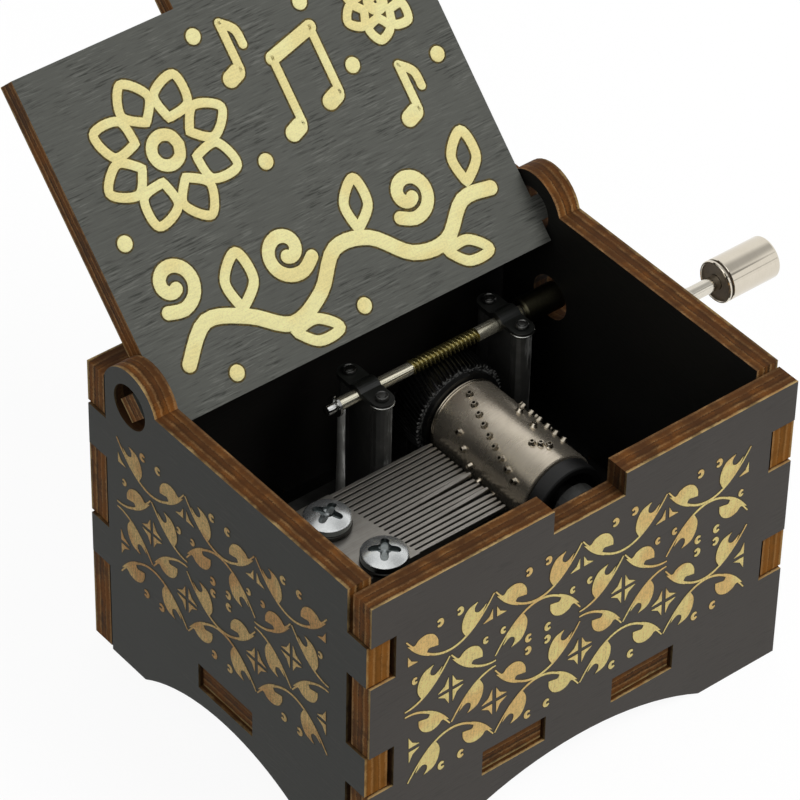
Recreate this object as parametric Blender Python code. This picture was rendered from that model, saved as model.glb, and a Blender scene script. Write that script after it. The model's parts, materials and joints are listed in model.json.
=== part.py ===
"""Hand-cranked music box: a plywood case with finger joints, a flush hinged lid,
and a pinned-cylinder movement driven by a worm on the crank shaft.

Frame: X runs along the front wall (the crank leaves at +X), -Y is the front and
+Z is up. The case is drawn about its own middle, on the surface it stands on,
and then moved, so that the origin is the middle of the underside of the whole
object's bounding box. The lid is stored open.
"""
import math

import bmesh
import bpy
from mathutils import Vector

MM = 0.001

# Case
BOARD = 3.2 * MM
CASE_WIDTH = 62.0 * MM
CASE_DEPTH = 51.8 * MM
RIM_ABOVE_SHAFT = 12.2 * MM
SIDE_STEP = 0.4 * MM
END_RECESS = 0.3 * MM
TONGUE_RECESS = 0.4 * MM
JOINT_GAP = 0.6 * MM
FINGER_PLAY = 0.12 * MM
LOWER_FINGER_BOTTOM = 13.4 * MM
LOWER_FINGER_HEIGHT = 6.2 * MM
UPPER_FINGER_BELOW_RIM = 12.0 * MM
UPPER_FINGER_HEIGHT = 6.2 * MM
ARCH_RISE = 4.7 * MM
FRONT_ARCH_SPAN = 37.8 * MM
SIDE_ARCH_SPAN = 31.2 * MM
ARCH_STEPS = 20
FLOOR_BOTTOM = 7.2 * MM
FLOOR_PLAY = 0.3 * MM
SLOT_PLAY = 0.3 * MM
SLOT_LENGTH = 9.3 * MM
SLOT_SPACING = 19.2 * MM
SIDE_SLOT_LENGTH = 10.2 * MM
TAB_RECESS = 0.5 * MM
# Of the free width and depth round the movement, 3.8 in 12.1 mm and 4.3 in 13.4 mm
RIGHT_ROOM_SHARE = 38 / 121
BACK_ROOM_SHARE = 43 / 134

# Lid and its hinge
EAR_RIM = 2.1 * MM
EAR_CUT = 0.35 * MM
EAR_CENTRE_BELOW_RIM = 1.5 * MM
EAR_STEPS = 14
HINGE_DROP = 0.35 * MM
PIN_WIDTH = 3.0 * MM
PIN_ROOM = 1.4 * MM
PIN_RECESS = 0.4 * MM
LID_SIDE_GAP = 0.35 * MM
LID_FRONT_GAP = 1.3 * MM
LID_BACK_GAP = 1.2 * MM
LID_TAB_WIDTH = 9.9 * MM
LID_TAB_PLAY = 0.25 * MM
LID_SEAT_GAP = 0.3 * MM
LID_LEAN = math.radians(44.7)

# Crank shaft, worm and gear
SHAFT_RADIUS = 0.8 * MM
SHAFT_SHOULDER_RADIUS = 0.9 * MM
NECK_RADIUS = 0.4 * MM
STUB_RADIUS = 0.7 * MM
NECK_LENGTH = 0.65 * MM
STUB_LENGTH = 1.1 * MM
CRANK_HOLE_RADIUS = 3.0 * MM
WORM_PITCH_RADIUS = 0.75 * MM
GEAR_PITCH_RADIUS = 6.25 * MM
GEAR_TEETH = 66
WORM_STARTS = 2
ADDENDUM = 0.18 * MM
DEDENDUM = 0.24 * MM
GEAR_WIDTH = 5.0 * MM
GEAR_FORWARD_SHARE = 0.66
GEAR_ABOVE_BASE = 3.57 * MM
WORM_LENGTH = 9.8 * MM
WORM_SIDES = 12
TOOTH_TIP_SHARE = 0.20
TOOTH_FOOT_SHARE = 0.52
THREAD_TIP_SHARE = 0.16
THREAD_FOOT_SHARE = 0.52

# Pinned cylinder, along Y
CYLINDER_RADIUS = 5.1 * MM
CYLINDER_WALL = 0.8 * MM
CYLINDER_SIDES = 56
PIN_HEIGHT = 0.5 * MM
PIN_RADIUS = 0.3 * MM
PIN_ROOT = 0.35 * MM
PIN_SIDES = 6
ARBOR_RADIUS = 0.8 * MM
ARBOR_END = 0.4 * MM
RUNNING_GAP = 0.06 * MM
SEAT_GAP = 0.1 * MM
FLANGE_STEP = 0.6 * MM
FLANGE_WIDTH = 0.8 * MM
SPIGOT_LENGTH = 1.6 * MM
CAP_LENGTH = 2.2 * MM
CAP_STEP = 0.25 * MM
CAP_LIP = 0.9 * MM
CAP_RECESS = 1.3 * MM
HUB_RADIUS = 1.7 * MM

# Comb
TINE_COUNT = 18
TINE_PITCH = 0.79 * MM
TINE_WIDTH = 0.53 * MM
TINE_TIP_WIDTH = 0.36 * MM
TINE_TIP_LENGTH = 0.9 * MM
TINE_THICKNESS = 0.5 * MM
COMB_TIP_GAP = 0.2 * MM
COMB_REAR_MARGIN = 0.9 * MM
COMB_FRONT_MARGIN = 2.08 * MM
COMB_BELOW_AXIS = 0.5 * MM
COMB_THICKNESS = 1.1 * MM
REAR_TINE_LENGTH = 15.1 * MM
FRONT_TINE_LENGTH = 12.9 * MM
COMB_PLATE_DEPTH = 8.6 * MM

# Screws
COMB_SCREW_RADIUS = 2.85 * MM
COMB_SCREW_HEIGHT = 1.5 * MM
COMB_SCREW_RIM = 0.5 * MM
COMB_SHANK_RADIUS = 1.2 * MM
COMB_SHANK_LENGTH = 6.0 * MM
COMB_SCREW_FROM_ROOT = 3.9 * MM
COMB_SCREW_SPAN = 8.9 * MM
WASHER_RADIUS = 2.9 * MM
WASHER_THICKNESS = 0.55 * MM
SCREW_HOLE_PLAY = 0.15 * MM
CROSS_WIDTH = 0.85 * MM
CROSS_LENGTH = 3.3 * MM
CROSS_DEPTH = 0.8 * MM
CROSS_TURN = math.radians(25)
BASE_SCREW_RADIUS = 2.3 * MM
BASE_SCREW_HEAD = 1.2 * MM
BASE_SHANK_RADIUS = 1.0 * MM
BASE_SCREW_BITE = 1.9 * MM
BASE_SCREW_INSET = 3.2 * MM

# Cast frame
BASE_THICKNESS = 2.5 * MM
BASE_BEYOND_COMB = 1.35 * MM
BASE_BEYOND_POST = 3.1 * MM
BASE_BEFORE_CHEEK = 1.5 * MM
BASE_BEHIND_CHEEK = 1.1 * MM
BASE_CORNER = 2.0 * MM
CORNER_STEPS = 4
POST_RADIUS = 1.25 * MM
POST_SPAN = 6.1 * MM
POST_DROP = 0.3 * MM
POST_SIDES = 16
WEB_THICKNESS = 1.5 * MM
LEFT_POST_FROM_GEAR = 3.87 * MM
RIGHT_POST_FROM_GEAR = 1.87 * MM
STRAP_THICKNESS = 0.6 * MM
STRAP_WIDTH = 3.0 * MM
STRAP_ARC_STEPS = 8
RIVET_HEAD_RADIUS = 0.85 * MM
RIVET_HEAD_HEIGHT = 0.45 * MM
RIVET_SHANK_RADIUS = 0.45 * MM
RIVET_SHANK_LENGTH = 2.4 * MM
CHEEK_THICKNESS = 1.6 * MM
CHEEK_HALF_WIDTH = 3.0 * MM
CHEEK_GAP = 0.5 * MM
CHEEK_FOOT_SPREAD = 1.6 * MM
BED_MARGIN = 0.3 * MM
THRUST_POST_FROM_STRAP = 1.57 * MM
THRUST_POST_RADIUS = 0.48 * MM
THRUST_POST_ROOT = 1.5 * MM
CLIP_RADIUS = 1.3 * MM
CLIP_THICKNESS = 0.35 * MM
CLIP_GAP = 0.15 * MM
CLIP_SLOT = 0.5 * MM

# Crank
COUPLING_RADIUS = 1.75 * MM
COUPLING_FROM_STRAP = 0.8 * MM
COUPLING_ROD_GAP = 1.0 * MM
COUPLING_OUTSIDE = 2.6 * MM
CRANK_ROD_RADIUS = 0.95 * MM
CRANK_REACH = 6.9 * MM
CRANK_ARM = 12.0 * MM
CRANK_ANGLE = math.radians(100.4)
CRANK_BEND = 1.9 * MM
BEND_STEPS = 6
KNOB_START_FROM_WALL = 12.4 * MM
KNOB_LENGTH = 8.1 * MM
KNOB_RADIUS = 2.75 * MM
KNOB_CHAMFER = 0.35 * MM
KNOB_RING = 0.75 * MM
KNOB_GROOVE = 0.28 * MM
KNOB_GROOVE_SHARES = (0.5, 1.0, 1.5)
KNOB_FACE_RECESS = 0.5 * MM
KNOB_RIM = 0.45 * MM
KNOB_END_WALL = 1.3 * MM
KNOB_SIDES = 32

OVERRUN = 1.0 * MM

# The tune, as runs of pins over the comb's tines. Each has its first tine, the step to the
# next tine and its count, then its first angle and the step to the next, in degrees from +X.
PIN_RUNS = (
    (16, -2, 9, 100.0, 6.5),
    (13, -2, 4, 148.0, 15.0),
    (9, -4, 2, 66.0, 6.0),
    (2, -1, 3, 97.0, -7.0),
    (11, -2, 6, 40.0, 1.5),
    (4, 3, 5, 200.0, 11.0),
    (15, -3, 5, 232.0, 8.0),
    (1, 2, 7, 270.0, 5.0),
    (16, -2, 6, 300.0, 7.5),
    (3, 4, 4, 345.0, 9.0),
    (0, 3, 5, 12.0, 5.0),
)

# Facets of round pieces and holes
THIN_SIDES = 12
SMALL_HOLE_SIDES = 14
SMALL_HEAD_SIDES = 16
COMB_HOLE_SIDES = 18
BORE_SIDES = 20
HEAD_SIDES = 24
LARGE_HOLE_SIDES = 28
CAP_SIDES = 32
HUB_SIDES = 36
ROUND_END_STEPS = 10
SMOOTH_ANGLE = math.radians(35)

# Radius and height of a low crown's points, as shares of its own
CROWN_SHARES = ((1.0, 0.5), (0.72, 0.9))

HALF_WIDTH = CASE_WIDTH / 2
HALF_DEPTH = CASE_DEPTH / 2
FLOOR_TOP = FLOOR_BOTTOM + BOARD

# Heights, from the floor up. The rim keeps the lid's back end clear of the shaft's straps.
BASE_BOTTOM = FLOOR_TOP + SEAT_GAP
BASE_TOP = BASE_BOTTOM + BASE_THICKNESS
GEAR_TIP_RADIUS = GEAR_PITCH_RADIUS + ADDENDUM
CYLINDER_Z = BASE_TOP + GEAR_ABOVE_BASE + GEAR_TIP_RADIUS
SHAFT_HEIGHT = CYLINDER_Z + GEAR_PITCH_RADIUS + WORM_PITCH_RADIUS
FRONT_HEIGHT = SHAFT_HEIGHT + RIM_ABOVE_SHAFT
SIDE_HEIGHT = FRONT_HEIGHT + SIDE_STEP
UPPER_FINGER_BOTTOM = FRONT_HEIGHT - UPPER_FINGER_BELOW_RIM
AXIAL_PITCH = 2 * math.pi * GEAR_PITCH_RADIUS / GEAR_TEETH
LEAD = AXIAL_PITCH * WORM_STARTS

# The ear's hole clears the lid's pin, and the ear ends at the back of its board.
EAR_HOLE_RADIUS = (PIN_WIDTH + BOARD) / 4 + PIN_ROOM
EAR_RADIUS = EAR_HOLE_RADIUS + EAR_RIM
EAR_FROM_BACK = BOARD + JOINT_GAP + EAR_RADIUS - EAR_CUT
EAR_CENTRE_HEIGHT = SIDE_HEIGHT - EAR_CENTRE_BELOW_RIM
EAR_Y = HALF_DEPTH - EAR_FROM_BACK
HINGE_Y = EAR_Y
HINGE_Z = EAR_CENTRE_HEIGHT - HINGE_DROP
LID_TAIL = EAR_FROM_BACK - BOARD - LID_BACK_GAP

# The base's reach from the cylinder's axis and from the shaft, and its place in the case.
CYLINDER_LENGTH = COMB_REAR_MARGIN + TINE_COUNT * TINE_PITCH + COMB_FRONT_MARGIN
COMB_TIP_REACH = CYLINDER_RADIUS + PIN_HEIGHT + COMB_TIP_GAP
LEFT_REACH = COMB_TIP_REACH + REAR_TINE_LENGTH + COMB_PLATE_DEPTH + BASE_BEYOND_COMB
RIGHT_POST_REACH = GEAR_TIP_RADIUS + RIGHT_POST_FROM_GEAR + POST_RADIUS
RIGHT_REACH = RIGHT_POST_REACH + BASE_BEYOND_POST
CHEEK_REACH = CHEEK_GAP + CHEEK_THICKNESS
BACK_REACH = (1 - GEAR_FORWARD_SHARE) * GEAR_WIDTH + CHEEK_REACH + BASE_BEHIND_CHEEK
FRONT_REACH = (GEAR_FORWARD_SHARE * GEAR_WIDTH + FLANGE_WIDTH + CYLINDER_LENGTH + CAP_LENGTH
               + CHEEK_REACH + BASE_BEFORE_CHEEK)
FREE_WIDTH = CASE_WIDTH - 2 * BOARD - LEFT_REACH - RIGHT_REACH
FREE_DEPTH = CASE_DEPTH - 2 * BOARD - FRONT_REACH - BACK_REACH
BASE_RIGHT = HALF_WIDTH - BOARD - RIGHT_ROOM_SHARE * FREE_WIDTH
BASE_BACK = HALF_DEPTH - BOARD - BACK_ROOM_SHARE * FREE_DEPTH
CYLINDER_X = BASE_RIGHT - RIGHT_REACH
SHAFT_Y = BASE_BACK - BACK_REACH
BASE_LEFT = LEFT_REACH - CYLINDER_X
BASE_FRONT = FRONT_REACH - SHAFT_Y

GEAR_FRONT = SHAFT_Y - GEAR_FORWARD_SHARE * GEAR_WIDTH
GEAR_BACK = GEAR_FRONT + GEAR_WIDTH
CYLINDER_BACK = GEAR_FRONT - FLANGE_WIDTH
CYLINDER_FRONT = CYLINDER_BACK - CYLINDER_LENGTH
FLANGE_RADIUS = CYLINDER_RADIUS + FLANGE_STEP
CAP_RADIUS = CYLINDER_RADIUS - CAP_STEP
RIGHT_POST_X = CYLINDER_X + RIGHT_POST_REACH
LEFT_POST_X = CYLINDER_X - GEAR_TIP_RADIUS - LEFT_POST_FROM_GEAR - POST_RADIUS
THRUST_POST_X = LEFT_POST_X - STRAP_WIDTH / 2 - THRUST_POST_FROM_STRAP - THRUST_POST_RADIUS
COUPLING_LEFT = RIGHT_POST_X + STRAP_WIDTH / 2 + COUPLING_FROM_STRAP
SHAFT_END = (COUPLING_LEFT + HALF_WIDTH) / 2
COMB_TOP = CYLINDER_Z - COMB_BELOW_AXIS
POST_TOP = SHAFT_HEIGHT + POST_DROP
STRAP_BOTTOM = POST_TOP + SEAT_GAP
KNOB_START = HALF_WIDTH + KNOB_START_FROM_WALL
LID_REACH = HINGE_Y + HALF_DEPTH - LID_TAB_PLAY
LID_FAR_Y = HINGE_Y + LID_REACH * math.sin(LID_LEAN) + BOARD / 2 * math.cos(LID_LEAN)
BOX_MIDDLE_X = (KNOB_START + KNOB_LENGTH - HALF_WIDTH) / 2
BOX_MIDDLE_Y = (LID_FAR_Y - HALF_DEPTH) / 2


def clear_scene():
    """Remove every object that is already in the file."""
    for item in list(bpy.data.objects):
        bpy.data.objects.remove(item, do_unlink=True)


def material(name, colour, roughness, metallic=0.0):
    """Return a Principled material with the given finish."""
    made = bpy.data.materials.new(name)
    made.use_nodes = True
    shader = made.node_tree.nodes["Principled BSDF"]
    shader.inputs["Base Color"].default_value = (*colour, 1.0)
    shader.inputs["Roughness"].default_value = roughness
    shader.inputs["Metallic"].default_value = metallic
    made.diffuse_color = (*colour, 1.0)
    return made


PAINTED_PLY = ("painted_ply", (0.075, 0.072, 0.068), 0.55, 0.0)
CAST_BLACK = ("cast_black", (0.045, 0.045, 0.048), 0.45, 0.3)
COMB_STEEL = ("comb_steel", (0.30, 0.28, 0.26), 0.38, 1.0)
NICKEL = ("cylinder_nickel", (0.62, 0.56, 0.50), 0.28, 1.0)
CHROME = ("bright_chrome", (0.80, 0.80, 0.80), 0.15, 1.0)
BRASS = ("worm_brass", (0.62, 0.52, 0.22), 0.30, 1.0)
BLACK_NYLON = ("black_nylon", (0.020, 0.020, 0.022), 0.50, 0.0)
DARK_WASHER = ("washer_dark", (0.10, 0.10, 0.10), 0.35, 1.0)


def new_object(name, bm, finish=None, smooth_angle=None):
    """Turn a bmesh into a named object, with outward faces and its own material."""
    bmesh.ops.recalc_face_normals(bm, faces=bm.faces)
    mesh = bpy.data.meshes.new(name)
    bm.to_mesh(mesh)
    bm.free()
    made = bpy.data.objects.new(name, mesh)
    bpy.context.collection.objects.link(made)
    if finish is not None:
        slot_name, colour, roughness, metallic = finish
        mesh.materials.append(material(f"{name}_{slot_name}", colour, roughness, metallic))
    if smooth_angle is not None:
        mesh.shade_smooth()
        mesh.set_sharp_from_angle(angle=smooth_angle)
    return made


def place(item, location=(0, 0, 0), rotation=(0, 0, 0), parent=None):
    """Set an object's place, and its parent if it has one."""
    item.location = location
    item.rotation_euler = rotation
    if parent is not None:
        item.parent = parent
    return item


def hide_tool(item):
    """Keep a cutter or an added shape out of the model itself."""
    item.hide_render = True
    item.display_type = "WIRE"


def boolean(target, tool, operation):
    """Cut, add or intersect a target with a tool object."""
    step = target.modifiers.new(f"{operation.lower()} {tool.name}", "BOOLEAN")
    step.operation = operation
    step.object = tool
    step.solver = "EXACT"
    hide_tool(tool)
    return step


def arc(centre, radius, start, end, steps):
    """Points on an arc, from the start angle to the end angle."""
    points = []
    for index in range(steps + 1):
        angle = start + (end - start) * index / steps
        points.append((centre[0] + radius * math.cos(angle), centre[1] + radius * math.sin(angle)))
    return points


def plate(name, outline, low, high, finish=None, smooth_angle=None):
    """Extrude an outline in the local XY plane from one height to another."""
    bm = bmesh.new()
    corners = [bm.verts.new((x, y, low)) for x, y in outline]
    face = bm.faces.new(corners)
    lifted = bmesh.ops.extrude_face_region(bm, geom=[face])
    tops = [item for item in lifted["geom"] if isinstance(item, bmesh.types.BMVert)]
    bmesh.ops.translate(bm, verts=tops, vec=(0, 0, high - low))
    return new_object(name, bm, finish, smooth_angle)


def block(name, low, high, finish=None):
    """A box between two corners."""
    outline = [(low[0], low[1]), (high[0], low[1]), (high[0], high[1]), (low[0], high[1])]
    return plate(name, outline, low[2], high[2], finish)


def turned(name, profile, sides, finish=None, closed=False, smooth_angle=SMOOTH_ANGLE):
    """Spin a profile of (radius, height) points round the local Z axis."""
    bm = bmesh.new()
    points = [bm.verts.new((radius, 0, height)) for radius, height in profile]
    edges = [bm.edges.new((a, b)) for a, b in zip(points, points[1:])]
    if closed:
        edges.append(bm.edges.new((points[-1], points[0])))
    bmesh.ops.spin(bm, geom=points + edges, cent=(0, 0, 0), axis=(0, 0, 1),
                   angle=2 * math.pi, steps=sides, use_merge=True)
    bmesh.ops.remove_doubles(bm, verts=bm.verts, dist=MM / 10000)
    return new_object(name, bm, finish, smooth_angle)


def rod(name, radius, low, high, sides, finish=None):
    """A plain round bar along the local Z axis."""
    return turned(name, [(0, low), (radius, low), (radius, high), (0, high)], sides, finish)


def finger_edge(plain, finger, play):
    """One upright edge, bottom to top, of a board with two joint rows."""
    points = []
    for bottom, height in ((LOWER_FINGER_BOTTOM, LOWER_FINGER_HEIGHT),
                           (UPPER_FINGER_BOTTOM, UPPER_FINGER_HEIGHT)):
        low = bottom + play
        high = bottom + height - play
        points += [(plain, low), (finger, low), (finger, high), (plain, high)]
    return points


def mirrored(points):
    """The same points on the other side, in the opposite order."""
    return [(-x, y) for x, y in reversed(points)]


def arch(span):
    """The arched gap between two feet, from left to right."""
    half = span / 2
    radius = (half ** 2 + ARCH_RISE ** 2) / (2 * ARCH_RISE)
    sweep = math.asin(half / radius)
    centre = (0, ARCH_RISE - radius)
    return arc(centre, radius, math.pi / 2 + sweep, math.pi / 2 - sweep, ARCH_STEPS)


def slot_cutter(name, centre_x, length, board):
    """A slot through a board for one of the floor's tabs, in the board's frame."""
    half = length / 2
    low = (centre_x - half, FLOOR_BOTTOM - SLOT_PLAY, -OVERRUN)
    high = (centre_x + half, FLOOR_TOP + SLOT_PLAY, BOARD + OVERRUN)
    cutter = block(name, low, high)
    cutter.parent = board
    boolean(board, cutter, "DIFFERENCE")


def make_end_wall(name, y_inner_side, height, notch):
    """The front or back wall: it covers the corners and takes the side walls' tongues."""
    end = HALF_WIDTH - END_RECESS
    notch_end = HALF_WIDTH - BOARD - JOINT_GAP
    right = [(end, 0)] + finger_edge(end, notch_end, 0) + [(end, height)]
    outline = arch(FRONT_ARCH_SPAN) + right
    if notch:
        half = LID_TAB_WIDTH / 2 + LID_TAB_PLAY
        floor = HINGE_Z - BOARD / 2 - LID_SEAT_GAP
        outline += [(half, height), (half, floor), (-half, floor), (-half, height)]
    outline += mirrored(right)
    wall = plate(name, outline, 0, BOARD, PAINTED_PLY)
    place(wall, (0, y_inner_side, 0), (math.pi / 2, 0, 0))
    for side in (-1, 1):
        slot_cutter(f"{name}_slot_{side + 1}", side * SLOT_SPACING / 2, SLOT_LENGTH, wall)
    return wall


def make_side_wall(name, x_low):
    """A side wall: tongues at both ends, and the ear that carries the lid's pin."""
    plain = HALF_DEPTH - BOARD - JOINT_GAP
    tongue = HALF_DEPTH - TONGUE_RECESS
    rise = EAR_CENTRE_HEIGHT - SIDE_HEIGHT
    back_reach = math.acos((plain - EAR_Y) / EAR_RADIUS)
    front_reach = math.pi + math.asin(rise / EAR_RADIUS)
    edge = finger_edge(plain, tongue, FINGER_PLAY)
    outline = arch(SIDE_ARCH_SPAN)
    outline += [(plain, 0)] + edge
    outline += arc((EAR_Y, EAR_CENTRE_HEIGHT), EAR_RADIUS, back_reach, front_reach, EAR_STEPS)
    outline += [(-plain, SIDE_HEIGHT)] + mirrored(edge) + [(-plain, 0)]
    wall = plate(name, outline, 0, BOARD, PAINTED_PLY)
    place(wall, (x_low, 0, 0), (math.pi / 2, 0, math.pi / 2))
    hole = rod(f"{name}_ear_hole", EAR_HOLE_RADIUS, -OVERRUN, BOARD + OVERRUN,
               LARGE_HOLE_SIDES)
    place(hole, (EAR_Y, EAR_CENTRE_HEIGHT, 0), parent=wall)
    boolean(wall, hole, "DIFFERENCE")
    slot_cutter(f"{name}_slot", 0, SIDE_SLOT_LENGTH, wall)
    return wall


def make_case():
    """The four walls and the floor panel."""
    make_end_wall("front_wall", -HALF_DEPTH + BOARD, FRONT_HEIGHT, notch=True)
    make_end_wall("back_wall", HALF_DEPTH, FRONT_HEIGHT, notch=False)
    make_side_wall("left_wall", -HALF_WIDTH)
    right = make_side_wall("right_wall", HALF_WIDTH - BOARD)
    hole = rod("crank_hole", CRANK_HOLE_RADIUS, -OVERRUN, BOARD + OVERRUN,
               LARGE_HOLE_SIDES)
    place(hole, (SHAFT_Y, SHAFT_HEIGHT, 0), parent=right)
    boolean(right, hole, "DIFFERENCE")
    make_floor()


def make_floor():
    """The floor panel, with two tabs front and back and one at each side."""
    half_x = HALF_WIDTH - BOARD - FLOOR_PLAY
    half_y = HALF_DEPTH - BOARD - FLOOR_PLAY
    reach_x = HALF_WIDTH - TAB_RECESS
    reach_y = HALF_DEPTH - TAB_RECESS
    tab = SLOT_LENGTH / 2 - SLOT_PLAY
    side_tab = SIDE_SLOT_LENGTH / 2 - SLOT_PLAY
    middle = SLOT_SPACING / 2
    back = [(half_x, half_y)]
    for centre in (middle, -middle):
        back += [(centre + tab, half_y), (centre + tab, reach_y),
                 (centre - tab, reach_y), (centre - tab, half_y)]
    back.append((-half_x, half_y))
    left = [(-half_x, side_tab), (-reach_x, side_tab), (-reach_x, -side_tab), (-half_x, -side_tab)]
    half_outline = back + left
    outline = half_outline + [(-x, -y) for x, y in half_outline]
    floor = plate("floor_panel", outline, 0, BOARD, PAINTED_PLY)
    place(floor, (0, 0, FLOOR_BOTTOM))
    for index, (x, y) in enumerate(base_screw_places()):
        hole = rod(f"floor_hole_{index}", BASE_SHANK_RADIUS + SCREW_HOLE_PLAY, -OVERRUN,
                   BOARD + OVERRUN, SMALL_HOLE_SIDES)
        place(hole, (x, y, 0), parent=floor)
        boolean(floor, hole, "DIFFERENCE")


def make_lid():
    """The lid: it lies flush between the walls, on two pins left standing at its back end."""
    half = HALF_WIDTH - BOARD - LID_SIDE_GAP
    pin = HALF_WIDTH - PIN_RECESS
    front = -(HINGE_Y + HALF_DEPTH - BOARD - LID_FRONT_GAP)
    tab = -LID_REACH
    right = [(LID_TAB_WIDTH / 2, tab), (LID_TAB_WIDTH / 2, front), (half, front),
             (half, -PIN_WIDTH / 2), (pin, -PIN_WIDTH / 2), (pin, PIN_WIDTH / 2),
             (half, PIN_WIDTH / 2), (half, LID_TAIL)]
    outline = right + mirrored(right)
    lid = plate("lid", outline, -BOARD / 2, BOARD / 2, PAINTED_PLY)
    return place(lid, (0, HINGE_Y, HINGE_Z), (-(math.pi / 2 + LID_LEAN), 0, 0))


def base_screw_places():
    """Where the four screws rise through the floor into the cast base."""
    xs = (-BASE_LEFT + BASE_SCREW_INSET, BASE_RIGHT - BASE_SCREW_INSET)
    ys = (-BASE_FRONT + BASE_SCREW_INSET, BASE_BACK - BASE_SCREW_INSET)
    return [(x, y) for x in xs for y in ys]


def comb_lines():
    """The comb's tip and root lines, and the Y of its rear edge."""
    tip_x = CYLINDER_X - COMB_TIP_REACH
    rear_y = CYLINDER_BACK - COMB_REAR_MARGIN
    front_y = rear_y - TINE_COUNT * TINE_PITCH
    rear_root = tip_x - REAR_TINE_LENGTH
    front_root = tip_x - FRONT_TINE_LENGTH
    return tip_x, rear_y, front_y, rear_root, front_root


def root_at(y):
    """The X of the slanted root line at a given Y."""
    tip_x, rear_y, front_y, rear_root, front_root = comb_lines()
    share = (y - front_y) / (rear_y - front_y)
    return front_root + (rear_root - front_root) * share


def comb_screw_places():
    """The two comb screws, in line with the slanted root."""
    tip_x, rear_y, front_y, rear_root, front_root = comb_lines()
    middle_y = (rear_y + front_y) / 2 - TINE_PITCH
    direction = Vector((rear_root - front_root, rear_y - front_y)).normalized()
    square = Vector((-direction.y, direction.x))
    middle = Vector((root_at(middle_y), middle_y)) + square * COMB_SCREW_FROM_ROOT
    half = direction * (COMB_SCREW_SPAN / 2)
    return {"rear": middle + half, "front": middle - half}


def plate_outline(margin):
    """The comb's solid back part, with its root side drawn in by a margin."""
    tip_x, rear_y, front_y, rear_root, front_root = comb_lines()
    return [(front_root - margin, front_y), (rear_root - margin, rear_y),
            (rear_root - COMB_PLATE_DEPTH, rear_y), (front_root - COMB_PLATE_DEPTH, front_y)]


def make_comb():
    """The tuned comb: tines cut to a slanted root line and thinned to their tips."""
    tip_x, rear_y, front_y, rear_root, front_root = comb_lines()
    outline = []
    inset = (TINE_PITCH - TINE_WIDTH) / 2
    taper = (TINE_WIDTH - TINE_TIP_WIDTH) / 2
    for index in range(TINE_COUNT):
        low = front_y + index * TINE_PITCH + inset
        high = low + TINE_WIDTH
        shoulder = tip_x - TINE_TIP_LENGTH
        outline += [(root_at(low), low), (shoulder, low), (tip_x, low + taper),
                    (tip_x, high - taper), (shoulder, high), (root_at(high), high)]
    outline.append((root_at(rear_y), rear_y))
    outline.append((rear_root - COMB_PLATE_DEPTH, rear_y))
    outline.append((front_root - COMB_PLATE_DEPTH, front_y))
    outline.append((root_at(front_y), front_y))
    comb = plate("comb", outline, 0, COMB_THICKNESS, COMB_STEEL)
    place(comb, (0, 0, COMB_TOP - COMB_THICKNESS))
    thin_under = COMB_THICKNESS - TINE_THICKNESS
    wedge_outline = [(front_root + OVERRUN, 0), (tip_x + OVERRUN, thin_under),
                     (tip_x + OVERRUN, -OVERRUN), (front_root + OVERRUN, -OVERRUN)]
    wedge = plate("comb_thinning", wedge_outline, -(rear_y + OVERRUN), -(front_y - OVERRUN))
    place(wedge, (0, 0, 0), (math.pi / 2, 0, 0), comb)
    boolean(comb, wedge, "DIFFERENCE")
    for side, spot in comb_screw_places().items():
        hole = rod(f"comb_hole_{side}", COMB_SHANK_RADIUS + SCREW_HOLE_PLAY, -OVERRUN,
                   COMB_THICKNESS + OVERRUN, COMB_HOLE_SIDES)
        place(hole, (spot.x, spot.y, 0), parent=comb)
        boolean(comb, hole, "DIFFERENCE")
    for side, spot in comb_screw_places().items():
        make_comb_screw(side, spot)
    return comb


def make_comb_screw(side, spot):
    """A domed cross-head screw on its washer."""
    inner = COMB_SHANK_RADIUS + SCREW_HOLE_PLAY
    washer = turned(f"comb_washer_{side}",
                    [(inner, 0), (WASHER_RADIUS, 0), (WASHER_RADIUS, WASHER_THICKNESS),
                     (inner, WASHER_THICKNESS)], HEAD_SIDES, DARK_WASHER, closed=True)
    place(washer, (spot.x, spot.y, COMB_TOP + SEAT_GAP))
    rise = COMB_SCREW_HEIGHT - COMB_SCREW_RIM
    dome = (COMB_SCREW_RADIUS ** 2 + rise ** 2) / (2 * rise)
    sweep = math.asin(COMB_SCREW_RADIUS / dome)
    steps = 6
    profile = [(0, -COMB_SHANK_LENGTH), (COMB_SHANK_RADIUS, -COMB_SHANK_LENGTH),
               (COMB_SHANK_RADIUS, 0), (COMB_SCREW_RADIUS, 0)]
    for index in range(steps + 1):
        angle = sweep * (1 - index / steps)
        height = COMB_SCREW_HEIGHT - dome + dome * math.cos(angle)
        profile.append((dome * math.sin(angle) if index < steps else 0, height))
    screw = turned(f"comb_screw_{side}", profile, HEAD_SIDES, CHROME)
    place(screw, (spot.x, spot.y, COMB_TOP + 2 * SEAT_GAP + WASHER_THICKNESS))
    for index in range(2):
        half = Vector((CROSS_LENGTH / 2, CROSS_WIDTH / 2))
        cross = block(f"comb_screw_cross_{side}_{index}",
                      (-half.x, -half.y, COMB_SCREW_HEIGHT - CROSS_DEPTH),
                      (half.x, half.y, COMB_SCREW_HEIGHT + OVERRUN))
        place(cross, (0, 0, 0), (0, 0, index * math.pi / 2 + CROSS_TURN), screw)
        boolean(screw, cross, "DIFFERENCE")


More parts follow.
